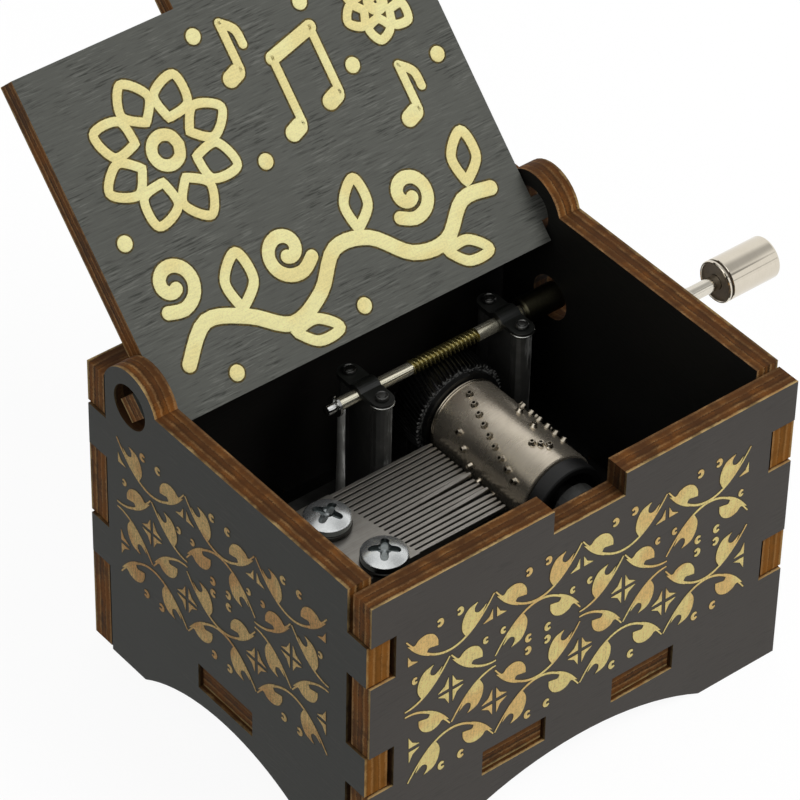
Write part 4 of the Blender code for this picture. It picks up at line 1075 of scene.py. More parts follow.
@dataclass
class ScrollPrint:
    """The traditional leaf scroll on one face of the case."""

    stem: str
    face: Face
    columns: int
    body: Body = Body.CASE
    mirrored: bool = False
    scale: Point = (1.0, 1.0)
    tilt: float = 0.0
    hole: tuple[Point, float] = ((0.0, 0.0), 0.0)
    period: float = 12.53
    row: float = 6.2
    overlap: float = 0.22
    middle_row: float = 0.42
    scroll: Scroll = field(default_factory=Scroll)

    def columns_at(self) -> list[float]:
        """Where the columns stand, about the middle of the print."""
        return [self.period * (index - (self.columns - 1) / 2) for index in range(self.columns)]

    def shapes(self) -> list[Outline]:
        """All shapes of the print, about its middle.

        Returns:
            Closed outlines, in the order in which they are laid.
        """
        made = []
        for index, x in enumerate(self.columns_at()):
            rows = [(self.row, -1), (-self.row, 1)]
            if index % 2:
                rows += [(self.row - self.overlap, 1), (self.overlap - self.row, -1)]
            for y, sign in rows:
                made += self.arch(x, y, sign)
            if not index % 2:
                made += self.star(x)
        edges = {round(x + side * self.period / 2, 4)
                 for x in self.columns_at() for side in (-1, 1)}
        for x in sorted(edges):
            made += self.between(x)
        return made

    def arch(self, x: float, y: float, sign: int, half: Half = Half.WHOLE) -> list[Outline]:
        """One arch with its top at a place, upside down where the sign is -1.

        Args:
            x: where its top stands.
            y: how high its top stands.
            sign: 1 for upright, -1 for upside down.
            half: which limbs are drawn.

        Returns:
            Its outlines.
        """
        top = Vector((x, y))
        return [[top + sign * point for point in outline]
                for outline in self.scroll.outlines(half)]

    def star(self, x: float) -> list[Outline]:
        """The four limbs that cross between two rows, and the star among them.

        Args:
            x: where it stands.

        Returns:
            Their outlines.
        """
        made = []
        for sign, halves in ((-1, (Half.RIGHT, Half.LEFT)), (1, (Half.LEFT, Half.RIGHT))):
            for side, half in zip((1, -1), halves):
                made += self.arch(x + side * self.period / 2, -sign * self.middle_row, sign, half)
        return made + petals((x, 0.0), 0.28, 1.5, 1.75, ((-1, 1), (1, 1), (-1, -1), (1, -1)))

    def between(self, x: float) -> list[Outline]:
        """The stars and small rings that stand between two columns.

        Args:
            x: where they stand.

        Returns:
            Their outlines.
        """
        reach = self.columns_at()[-1] + self.period / 2
        sides = [side for side in (-1, 1) if abs(x + side) < reach]
        low = petals((x, 0.3 - self.row), 0.3, 1.5, 1.65,
                     [(side, up) for side in sides for up in (-1, 1)])
        high = petals((x, self.row + 0.7), 0.3, 1.35, 1.5, [(side, 1) for side in sides])
        return low + high + [crescent((x + side * 1.25, self.row - 1.75), 0.42, 0.52)
                             for side in sides]

    def build(self, fill: Look, rim: Look) -> None:
        """Lay the print on its face.

        Args:
            fill: the bare wood.
            rim: the burnt rims.
        """
        laid = Print(self.face)
        wide, tall = self.scale
        stretch = Matrix(((-wide if self.mirrored else wide, 0), (0, tall)))
        place = Matrix.Rotation(self.tilt, 2) @ stretch
        centre, radius = self.hole
        for outline in self.shapes():
            placed = [place @ point for point in outline]
            if all((point - Vector(centre)).length > radius for point in placed):
                laid.lay(placed)
        laid.piece(self.stem, "print", self.body, Slot.PLY, fill, rim)


class Stroke:
    """A soft-edged brush stroke of even width with round ends, a little proud."""

    section: tuple = ((-1.0, 0.0), (-0.94, 0.55), (-0.72, 0.86), (-0.35, 1.0),
                      (0.35, 1.0), (0.72, 0.86), (0.94, 0.55), (1.0, 0.0))
    end_steps: int = 5

    def __init__(self, points: Sequence[Point], width: float, closed: bool = False,
                 steps: int = 8) -> None:
        """Take the stroke's points and width.

        Args:
            points: points that it passes through.
            width: its width.
            closed: whether it ends where it starts.
            steps: pieces between two points.
        """
        self.width = width
        self.closed = closed
        if closed:
            self.points = spline([*points, points[0]], steps)[:-1]
        elif len(points) > 2:
            self.points = spline(points, steps)
        else:
            start, end = map(Vector, points)
            self.points = [start.lerp(end, step / steps) for step in range(steps + 1)]

    def lay(self, draft: Draft, face: Face, grow: float, height: float, slot: int) -> None:
        """Add the stroke to a draft.

        Args:
            draft: the mesh that it joins.
            face: where it lies.
            grow: extra width at each side.
            height: how proud its middle stands.
            slot: the faces' material.
        """
        radius = self.width / 2 + grow
        rings = []
        for place, square, share in self.stations(radius):
            lift = height * min(1.0, share * 1.6)
            rings.append(draft.ring(face.point(place + square * (wide * radius * share),
                                               lift * tall + PRINT_FOOT)
                                    for wide, tall in self.section))
        draft.skin(rings, (slot,), self.closed)

    def stations(self, radius: float) -> list[tuple[Vector, Vector, float]]:
        """Place, sideways direction and width share of each ring, round ends included.

        Args:
            radius: half the stroke's width.

        Returns:
            The stations, in order.
        """
        ways = [heading(self.points, index, self.closed) for index in range(len(self.points))]
        made = [(point, left(way), 1.0) for point, way in zip(self.points, ways)]
        if self.closed:
            return made
        for step in reversed(range(self.end_steps)):
            angle = math.pi / 2 * (step + 0.35) / self.end_steps
            far, share = radius * math.cos(angle), math.sin(angle)
            made.insert(0, (self.points[0] - ways[0] * far, left(ways[0]), share))
            made.append((self.points[-1] + ways[-1] * far, left(ways[-1]), share))
        return made


class Brush(Enum):
    """Widths of the design's strokes, as shares of its own width."""

    STEM = 0.6
    PETAL = 0.62
    LEAF = 0.7
    EYE = 0.8
    TENDRIL = 0.9
    BEAM = 0.95
    VINE = 1.0
    DOT = 1.05
    HEAD = 1.15


@dataclass
class LidDesign:
    """A plain design of blossoms, tendrils and notes in brush strokes on the lid's inside."""

    face: Face
    width: float = 1.85
    rim: float = 0.2
    height: float = 0.11
    rim_height: float = 0.035
    stem_shift: float = 1.15
    dot_length: float = 0.02

    def stroke(self, points: Sequence[Point], brush: Brush, closed: bool = False,
               steps: int = 8) -> Stroke:
        """One stroke of a named width."""
        return Stroke(points, self.width * brush.value, closed, steps)

    def blossom(self, centre: Point, radius: float, petal_count: int) -> list[Stroke]:
        """A round blossom with looped petals.

        Args:
            centre: its middle.
            radius: how far its petals reach.
            petal_count: how many it has.

        Returns:
            Its strokes.
        """
        made = [self.stroke(arc(centre, radius * 0.2, radius * 0.2, 0, 315, 7), Brush.EYE, True)]
        for index in range(petal_count):
            angle = 2 * math.pi * index / petal_count + 0.2
            ahead = Vector((math.cos(angle), math.sin(angle)))
            side = left(ahead) * math.sin(math.pi / petal_count) * 0.62
            petal = (ahead * 0.42, ahead * 0.68 + side, ahead, ahead * 0.68 - side)
            made.append(self.stroke([Vector(centre) + point * radius for point in petal],
                                    Brush.PETAL, True))
        return made

    def tendril(self, eye: Point, turns: float, radius: float, angle: float,
                sense: int) -> Stroke:
        """A spiral that winds in from its stem.

        Args:
            eye: the spiral's eye.
            turns: how often it winds.
            radius: its outer radius.
            angle: where its outer end lies.
            sense: 1 for anticlockwise, -1 for clockwise.

        Returns:
            The stroke, from its outer end to its eye.
        """
        steps = int(10 * turns)
        points = []
        for share in (step / steps for step in range(steps + 1)):
            turn = angle + sense * 2 * math.pi * turns * share
            points.append(Vector(eye) + radius * (1 - 0.8 * share)
                          * Vector((math.cos(turn), math.sin(turn))))
        return self.stroke(points, Brush.TENDRIL, steps=3)

    def quaver(self, x: float, y: float, height: float) -> list[Stroke]:
        """A note's oval head and its stem.

        Args:
            x: the head's place across.
            y: the head's height.
            height: how far the stem rises.

        Returns:
            The two strokes.
        """
        stem = x + self.stem_shift
        return [self.stroke([(x - 0.5, y - 0.2), (x + 0.55, y + 0.2)], Brush.HEAD, steps=3),
                self.stroke([(stem, y + 0.4), (stem, y + height)], Brush.STEM)]

    def note(self, x: float, y: float, height: float) -> list[Stroke]:
        """One quaver with its flag.

        Args:
            x: the head's place across.
            y: the head's height.
            height: how far the stem rises.

        Returns:
            The three strokes.
        """
        stem, top = x + self.stem_shift, y + height
        flag = self.stroke([(stem, top), (stem + 1.5, top - 1.4), (stem + 1.7, top - 3.3)],
                           Brush.PETAL)
        return [*self.quaver(x, y, height), flag]

    def beamed(self, x: float, y: float, height: float, step: float,
               rise: float) -> list[Stroke]:
        """Two quavers joined by a beam.

        Args:
            x: the first head's place across.
            y: its height.
            height: how far the stems rise.
            step: how far the second stands to the right.
            rise: how much higher it stands.

        Returns:
            The five strokes.
        """
        stem, top = x + self.stem_shift, y + height
        beam = self.stroke([(stem, top), (stem + step, top + rise)], Brush.BEAM)
        return [*self.quaver(x, y, height), *self.quaver(x + step, y + rise, height), beam]

    def leaf(self, root: Point, tip: Point, bulge: float) -> Stroke:
        """A looped leaf between two points.

        Args:
            root: where it starts.
            tip: where it points.
            bulge: half its width, as a share of its length.

        Returns:
            Its stroke.
        """
        start, end = Vector(root), Vector(tip)
        middle, side = start.lerp(end, 0.5), left(end - start) * bulge
        return self.stroke([start, middle + side, end, middle - side], Brush.LEAF, True)

    def strokes(self) -> list[Stroke]:
        """Every stroke of the design.

        Returns:
            The strokes, in the order in which they are laid.
        """
        made = self.blossom((-13.6, 24.6), 9.0, 8) + self.blossom((19.6, 30.0), 4.6, 6)
        made += self.beamed(2.8, 20.4, 8.6, 6.2, 1.5)
        made += self.note(-1.6, 29.0, 6.2) + self.note(17.6, 16.2, 6.0)
        vine = [(-22.6, 1.6), (-18.4, 5.2), (-13.2, 3.6), (-8.4, 0.6), (-3.4, 2.4), (0.6, 6.2),
                (5.4, 5.6), (9.8, 1.8), (14.6, 1.4), (18.8, 4.8), (23.0, 4.6)]
        made.append(self.stroke(vine, Brush.VINE, steps=5))
        made += [self.tendril(*plan) for plan in (
            ((-20.2, 10.6), 1.15, 3.4, -2.2, 1), ((-5.2, 8.4), 1.2, 3.3, -0.6, -1),
            ((12.6, 8.2), 1.2, 3.2, -2.4, 1))]
        made += [self.leaf(*plan) for plan in (
            ((-13.4, 4.6), (-11.2, 10.8), 0.28), ((-8.6, -0.4), (-3.0, -2.2), 0.22),
            ((4.6, 7.0), (6.8, 12.6), 0.26), ((14.0, 0.2), (19.4, -1.8), 0.22),
            ((20.4, 6.4), (22.6, 12.2), 0.27))]
        for x, y in ((-23.4, 17.0), (-2.6, 18.6), (10.4, 33.6), (13.2, 24.4), (-4.2, 35.0),
                     (1.0, -1.2), (-17.6, -1.6), (24.2, 21.4)):
            end = (x + self.dot_length, y + self.dot_length)
            made.append(self.stroke([(x, y), end], Brush.DOT, steps=1))
        return made

    def build(self, fill: Look, rim: Look) -> None:
        """Lay the design on the lid.

        Args:
            fill: the strokes' bare wood.
            rim: their burnt rims.
        """
        draft = Draft()
        for stroke in self.strokes():
            stroke.lay(draft, self.face, 0.0, self.height, FILL)
            stroke.lay(draft, self.face, self.rim, self.rim_height, RIM)
        draft.piece("lid_blossom", "print", Body.LID, Slot.PLY, fill, rim)


@dataclass
class Case:
    """The ply case: four walls and a floor, with the scroll printed on its outsides."""

    scroll_height: float = 24.25
    side_scroll_height: float = 24.95
    scroll_shift: float = -0.55
    side_scroll_shift: float = 0.6
    side_scale: Point = (1.034, 0.93)
    clear_radius: float = 3.35
    hole_over_hinge: float = 0.35
    hole_radius: float = 3.1
    notch_top: float = 31.0

    def build(self) -> None:
        """Dress the boards and lay the prints."""
        # The boards share one charcoal paint; the left wall's darker value is painted shade, as
        # that side faces away from the key lamp.
        for node, outward, grain, paint in (
                ("front_wall", -Y_AXIS, X_AXIS, "4e4a46"), ("back_wall", Y_AXIS, X_AXIS, "4a4743"),
                ("left_wall", -X_AXIS, Y_AXIS, "373834"), ("right_wall", X_AXIS, Y_AXIS, "464541"),
                ("floor_panel", -Z_AXIS, X_AXIS, "3a3937")):
            low, high = span(node)
            corner = high if sum(outward) > 0 else low
            dress(node, PaintedPly(f"{node}_paint", outward, corner.dot(outward),
                                   abs((high - low).dot(outward)), grain, paint,
                                   middle=(low + high).dot(grain) / 2,
                                   half=(high - low).dot(grain) / 2,
                                   notch_top=self.notch_top if outward.x else high.z,
                                   end_warmth=0.4 * abs(outward.x), pale_rim=abs(outward.y),
                                   edge_shade_level=1.0 - 0.5 * abs(outward.z),
                                   hole_char_and_shade=self.hole_char_and_shade() if outward.x else ()))
        self.lay_prints()

    def hole_char_and_shade(self) -> tuple:
        """Middle, radius and strength of the darkening round a side board's holes: burnt char, and
        painted shade inside the holes.

        Returns:
            One middle, radius and strength for each hole.
        """
        pin_hole = joint_place("lid_hinge") + Z_AXIS * self.hole_over_hinge
        return ((pin_hole, self.hole_radius, 0.85),
                (joint_place("crank_turn") + Z_AXIS, self.hole_radius, 0.7))

    def lay_prints(self) -> None:
        """Lay the scroll on the four outer faces."""
        gold = LaserPrint("scroll_gold", "ffe99c", "efb974", 0.55, Z_AXIS, 0.6)
        # The side walls' gold is a darker copy of the front's: painted shade, as on the left
        # wall's paint.
        shaded_gold = LaserPrint("scroll_gold_side_shaded", "eac98a", "cb915a", 0.6, Z_AXIS, 1.2)
        x, y = foot("front_wall").x, foot("left_wall").y
        high, side_high = self.scroll_height, self.side_scroll_height
        shaft = joint_place("crank_turn")
        hole = ((shaft.y - y, shaft.z - side_high), self.clear_radius)
        side = {"columns": 3, "scale": self.side_scale}
        for wall, origin, across, plan in (
                ("front", (x + self.scroll_shift, span("front_wall")[0].y, high), X_AXIS,
                 {"columns": 4, "tilt": 0.03}),
                ("back", (x, span("back_wall")[1].y, high), -X_AXIS, {"columns": 4}),
                ("left", (span("left_wall")[0].x, y + self.side_scroll_shift, side_high), -Y_AXIS,
                 {**side, "mirrored": True, "tilt": 0.014}),
                ("right", (span("right_wall")[1].x, y, side_high), Y_AXIS,
                 {**side, "hole": hole})):
            laid = ScrollPrint(f"{wall}_scroll", Face(Vector(origin), across, Z_AXIS), **plan)
            laid.build(shaded_gold if across.y else gold, Scorch("scroll_rim"))


@dataclass
class Lid:
    """The lid leaf: paint and edges, the design inside and a scroll outside."""

    thickness: float = 3.2
    reach: float = 38.8
    tail: float = 4.1

    def build(self) -> None:
        """Dress the lid and lay its prints."""
        hinge = joint_place("lid_hinge")
        lean = math.radians(joint("lid_hinge")["range_deg"][1] - 90)
        up = Vector((0, math.sin(lean), math.cos(lean)))
        inward = X_AXIS.cross(up) * self.thickness / 2
        outward = -X_AXIS.cross(up)
        # The darkening round the hinge hole is burnt char and painted shade in the hole.
        dress("lid", PaintedPly("lid_paint", outward, hinge.dot(outward) + self.thickness / 2,
                                self.thickness, X_AXIS, "5f605b", "74756f", "393a36", 1.0, 0.8,
                                hole_char_and_shade=((hinge, 3.0, 0.6),)))
        rim = Scorch("blossom_rim", "2f2a14", "6a5a2c")
        middle = Vector((foot("lid").x, hinge.y, hinge.z))
        LidDesign(Face(middle + inward, X_AXIS, up)).build(
            LaserPrint("blossom_cream", "fdf5b4", "f3dc92", 0.45, X_AXIS, 0.3), rim)
        centre = middle - inward + up * (self.reach - self.tail) / 2
        ScrollPrint("lid_scroll", Face(centre, -X_AXIS, up), 4, Body.LID).build(
            LaserPrint("lid_gold", "ecd88c", "dcae62", 0.75, X_AXIS), rim)


@dataclass
class Movement:
    """The cast frame with its straps, rivets, post and screws."""

    rivet_radius: float = 0.85
    rivet_height: float = 0.45
    rivet_shank: float = 0.45
    lip: float = 0.11
    lip_reach: float = 0.06
    lip_sweep: float = 100.0
    foot_spread: float = 1.3
    screw_radius: float = 2.3
    shank_radius: float = 1.0
    head_height: float = 1.2
    cross: tuple = (2.6, 0.6, 0.75)
    cross_angle: float = 20.0

    def build(self) -> None:
        """Dress the frame and build its small round pieces."""
        # The frame's 0.8 is the strength of its painted highlight streaks.
        dress("movement_frame", Satin("cast_satin", "31312f", "4d4d4a", 0.48, 0.014, 0.8), 0.12)
        for side in ("left", "right"):
            dress(f"shaft_strap_{side}", Satin("strap_satin", "131412", "232422", 0.36, 0.008),
                  0.1)
            self.strap_lip(side)
            for end in ("front", "rear"):
                self.rivet(f"strap_rivet_{side}_{end}")
        self.post("thrust_post")
        for index in range(1, 5):
            self.base_screw(f"base_screw_{index}")

    def strap_lip(self, side: str) -> None:
        """A bright metal lip under the front end of a strap: a painted highlight along its edge.

        Args:
            side: left or right.
        """
        low, high = span(f"shaft_strap_{side}")
        half = (high.x - low.x) / 2
        reach = half + self.lip_reach - self.lip
        bow = arc((low.x + half, low.y + half), reach, reach, -90 - self.lip_sweep,
                  -90 + self.lip_sweep, 24)
        route = [Vector((*point, low.z + self.lip)) for point in bow]
        # The lip is bright metal that stands for the highlight along the black strap's edge: a
        # painted highlight.
        Draft().sweep(route, self.lip, 12).piece(
            "strap_lip", side, Body.CASE, Slot.CAST,
            Metal("strap_lip_bright", "d2d2cd", "a0a09b", 0.22))

    def rivet(self, node: str) -> None:
        """One rivet: a shank and a low head with a ring pressed into it.

        Args:
            node: the CAD node that it replaces.
        """
        low, high = span(node)
        top = high.z
        radius = self.rivet_radius
        seat = top - self.rivet_height
        profile = [(0, low.z), (self.rivet_shank, low.z), (self.rivet_shank, seat),
                   (radius * 0.96, seat), (radius, seat + 0.06), (radius * 0.98, top - 0.2),
                   (radius * 0.88, top - 0.06), (radius * 0.8, top - 0.04),
                   (radius * 0.7, top - 0.17), (radius * 0.6, top - 0.17),
                   (radius * 0.52, top - 0.03), (radius * 0.3, top), (0, top)]
        Draft().turn(profile, foot(node), Z_AXIS, 32).piece(
            node, "head", Body.CASE, Slot.CAST, Metal("rivet_worn", "7f7f7c", "454543", 0.36))

    def post(self, node: str) -> None:
        """The slim steel post under the shaft's left end.

        Args:
            node: the CAD node that it replaces.
        """
        low, high = span(node)
        radius = (high.x - low.x) / 2
        wide = radius * self.foot_spread
        profile = [(0, low.z), (wide, low.z), (wide, low.z + 2.0), (radius, high.z - 6.0),
                   (radius, high.z - 0.12), (radius - 0.12, high.z), (0, high.z)]
        # The post gets light streaks on its side facing the key lamp: painted highlight.
        Draft().turn(profile, foot(node), Z_AXIS, 32).piece(
            node, "steel", Body.CASE, Slot.CHROME,
            Satin("post_steel_sheen", "7d7d79", "a5a5a0", 0.42, 0.01, 0.9, "dadad5"))

    def base_screw(self, node: str) -> None:
        """A pan-head screw that is driven from under the floor.

        Args:
            node: the CAD node that it replaces.
        """
        low, high = span(node)
        seat = low.z + self.head_height
        profile = [(0, high.z), (self.shank_radius * 0.7, high.z),
                   (self.shank_radius, high.z - 0.4), (self.shank_radius, seat),
                   (self.screw_radius - 0.06, seat), (self.screw_radius, seat - 0.06)]
        rim = seat - 0.45
        profile += arc((0, rim), self.screw_radius, low.z - rim, 0, 90, 8)
        zinc = Metal("base_screw_zinc", "cfcfcf", "9d9d9b", 0.26)
        piece = Draft().turn(profile, foot(node), Z_AXIS, 48).piece(
            node, "head", Body.CASE, Slot.CHROME, zinc, zinc)
        cut_cross(piece, foot(node) + Z_AXIS * low.z, -1, self.cross, self.cross_angle)


def crown(radius: float, start: float, top: float, steps: int) -> list[Point]:
    """Profile points of a shallow round crown, part of a ball, from its rim to its middle.

    Args:
        radius: the rim's radius.
        start: the rim's distance along the axis.
        top: the middle's distance.
        steps: pieces that it is cut into.

    Returns:
        Points of radius and distance.
    """
    rise = top - start
    ball = (radius * radius + rise * rise) / (2 * rise)
    angles = [math.asin(radius / ball) * (1 - step / steps) for step in range(steps + 1)]
    return [(ball * math.sin(angle), top - ball * (1 - math.cos(angle))) for angle in angles]


@dataclass
class Comb:
    """The comb with two tines lifted by pins, its two cross-head screws and their washers."""

    tines: int = 18
    pitch: float = 0.79
    width: float = 0.53
    tip_width: float = 0.38
    tip_length: float = 0.9
    thickness: float = 1.1
    tip_thickness: float = 0.5
    rear_length: float = 15.1
    front_length: float = 12.9
    plate_depth: float = 8.6
    soft: float = 0.04
    hole_radius: float = 1.3
    lifted: tuple = ((8, 0.5), (4, 0.42))
    lift_power: float = 2.2
    screw_radius: float = 2.85
    rim_height: float = 0.85
    head_height: float = 1.5
    shank_radius: float = 1.2
    washer_bore: float = 1.35
    washer_soft: float = 0.1
    cross: tuple = (4.1, 1.05, 0.75)
    turns: tuple = (("rear", -62.0), ("front", -39.5))

    def build(self) -> None:
        """Build the comb, its screws and its washers."""
        steel = Metal("comb_steel_grey", "c6c2ba", "7c7872", 0.38, Brushing.ALONG_X, 0.2, 0.012)
        self.plate(steel)
        low, high = span("comb")
        draft = Draft()
        for index in range(self.tines):
            self.tine(draft, low.y + (index + 0.5) * self.pitch, high,
                      dict(self.lifted).get(index, 0.0))
        draft.piece("comb", "tines", Body.CASE, Slot.COMB, steel)
        for side, angle in self.turns:
            self.screw(f"comb_screw_{side}", angle)
            self.washer(f"comb_washer_{side}")

    def root(self, y: float) -> float:
        """Where the slanted root line stands at a place along the comb.

        Args:
            y: the place along the comb.

        Returns:
            How far along X the line stands.
        """
        low, high = span("comb")
        share = (y - low.y) / (high.y - low.y)
        return high.x - self.front_length - (self.rear_length - self.front_length) * share

    def plate(self, steel: Look) -> None:
        """The plate behind the tines, with its screw holes.

        Args:
            steel: its finish.
        """
        low, high = span("comb")
        outline = [(self.root(y) - depth, y) for y, depth in (
            (low.y, 0), (high.y, 0), (high.y, self.plate_depth), (low.y, self.plate_depth))]
        draft = Draft()
        draft.skin([draft.ring(Vector((x, y, level)) for x, y in outline)
                    for level in (high.z - self.thickness, high.z)])
        plate = draft.piece("comb", "plate", Body.CASE, Slot.COMB, steel)
        bore = [(0, -self.thickness - 1), (self.hole_radius, -self.thickness - 1),
                (self.hole_radius, 1), (0, 1)]
        for side, _ in self.turns:
            top = foot(f"comb_screw_{side}") + Z_AXIS * high.z
            carve(plate, Draft().turn(bore, top, Z_AXIS, 40))

    def tine(self, draft: Draft, middle: float, high: Vector, lift: float) -> None:
        """One tine, from inside the plate to its tip.

        Args:
            draft: the mesh that it joins.
            middle: where it lies along the comb.
            high: the comb's highest corner.
            lift: how far a pin holds its tip up.
        """
        root = self.root(middle)
        length = high.x - root
        neck = 1 - self.tip_length / length
        rings = []
        for share in (-0.02, 0.03, 0.2, 0.4, 0.55, 0.7, 0.82, neck, 0.985, 1.0):
            past = max(0.0, share - neck) / (1 - neck)
            along = max(share, 0.0)
            half = (self.width + (self.tip_width - self.width) * min(1.0, past * 1.2)) / 2
            top = high.z - 0.003 + lift * along ** self.lift_power
            slim = self.thickness + (self.tip_thickness - self.thickness) * along
            soft = self.soft if share < 1.0 else self.soft * 2
            section = [(-half + soft, top), (half - soft, top), (half, top - soft),
                       (half, top - slim), (-half, top - slim), (-half, top - soft)]
            rings.append(draft.ring(Vector((root + length * share, middle + across, level))
                                    for across, level in section))
        draft.skin(rings)

    def screw(self, node: str, angle: float) -> None:
        """A low domed screw with a cross recess, turned by an angle in degrees.

        Args:
            node: the CAD node that it replaces.
            angle: the cross's angle in degrees.
        """
        low, high = span(node)
        seat = high.z - self.head_height
        radius = self.screw_radius
        profile = [(0, low.z), (self.shank_radius * 0.8, low.z),
                   (self.shank_radius, low.z + 0.3), (self.shank_radius, seat),
                   (radius - 0.08, seat), (radius, seat + 0.08),
                   (radius, seat + self.rim_height - 0.06)]
        profile += crown(radius - 0.05, seat + self.rim_height, high.z, 12)
        # The head's underside and side wall, bands 3 to 5, and the cut cross take the darker
        # recess finish: painted shade.
        piece = Draft().turn(profile, foot(node), Z_AXIS, 72, second=range(3, 6)).piece(
            node, "head", Body.CASE, Slot.CHROME,
            Metal("comb_screw_chrome", "eef0ef", "c2c5c5", 0.22, metallic=0.86),
            Metal("comb_screw_recess_shade", "a9aeae", "5a6060", 0.26))
        cut_cross(piece, foot(node) + Z_AXIS * high.z, 1, self.cross, angle)

    def washer(self, node: str) -> None:
        """A flat washer with rounded rims.

        Args:
            node: the CAD node that it replaces.
        """
        low, high = span(node)
        radius, soft = (high.x - low.x) / 2, self.washer_soft
        profile = [(self.washer_bore, low.z), (radius - soft, low.z), (radius, low.z + soft),
                   (radius, high.z - soft), (radius - soft, high.z), (self.washer_bore, high.z)]
        Draft().turn(profile, foot(node), Z_AXIS, 64, closed=True).piece(
            node, "ring", Body.CASE, Slot.WASHER,
            Metal("comb_washer_dark", "4b4a47", "262523", 0.36, Brushing.ROUND_Z))


@dataclass
class WormShaft:
    """The crank's shaft with its two-start worm, and the open ring in its neck."""

    left_radius: float = 0.8
    right_radius: float = 0.9
    neck_radius: float = 0.4
    stub_radius: float = 0.7
    neck_length: float = 0.65
    stub_length: float = 1.1
    worm_length: float = 9.8
    worm_root: float = 0.51
    worm_tip: float = 0.93
    pitch: float = 0.595
    starts: int = 2
    sides: int = 48
    grain: int = 12

    def build(self) -> None:
        """Build the shaft and dress the ring."""
        low, high = span("worm_shaft")
        start = joint_place("cylinder_turn").x - self.worm_length / 2
        end = start + self.worm_length
        neck = low.x + self.stub_length
        bare = neck + self.neck_length
        left_part = [(low.x, self.stub_radius - 0.1), (low.x + 0.1, self.stub_radius),
                     (neck, self.stub_radius), (neck, self.neck_radius), (bare, self.neck_radius),
                     (bare, self.left_radius - 0.06), (bare + 0.06, self.left_radius),
                     (start - 0.1, self.left_radius)]
        steps = int(self.worm_length / self.pitch * self.grain)
        places = [start + self.worm_length * step / steps for step in range(steps + 1)]
        worm = [(x, partial(self.thread, x)) for x in places]
        right_part = [(end + 0.1, self.right_radius), (high.x - 0.1, self.right_radius),
                      (high.x, self.right_radius - 0.1)]
        draft = Draft()
        axis = joint_place("crank_turn")
        rings = [draft.circle(Vector((x, axis.y, axis.z)), Y_AXIS, Z_AXIS, radius, self.sides)
                 for x, radius in left_part + worm + right_part]
        draft.skin(rings, [2] * 5 + [1] * 3 + [0] * len(worm) + [1] * 3)
        draft.piece("worm_shaft", "turned", Body.CRANK, Slot.BRASS,
                    Metal("worm_olive_brass", "cfc48a", "847a48", 0.24, Brushing.ROUND_X, 0.1,
                          0.003, 0.9),
                    Metal("shaft_silvery", "ebe7d6", "cbc5a8", 0.2, Brushing.ROUND_X, 0.1, 0.004,
                          0.88),
                    Metal("shaft_end_chrome", "ececea", "c6c6c4", 0.12, Brushing.ROUND_X, 0.06,
                          0.002), smooth=50)
        dress("shaft_clip", Metal("shaft_clip_steel", "dadad8", "a8a8a6", 0.2), 0.04)

    def thread(self, x: float, angle: float) -> float:
        """Radius of the worm's surface at a place and an angle.

        Args:
            x: the place along the shaft.
            angle: the angle round it.

        Returns:
            The radius.
        """
        lead = self.pitch * self.starts
        phase = joint_place("cylinder_turn").x + self.pitch / 2 + lead / 4
        share = ((x - phase - lead * angle / (2 * math.pi)) / self.pitch) % 1.0
        rise = min(max((0.26 - min(share, 1.0 - share)) / 0.18, 0.0), 1.0)
        return self.worm_root + (self.worm_tip - self.worm_root) * rise


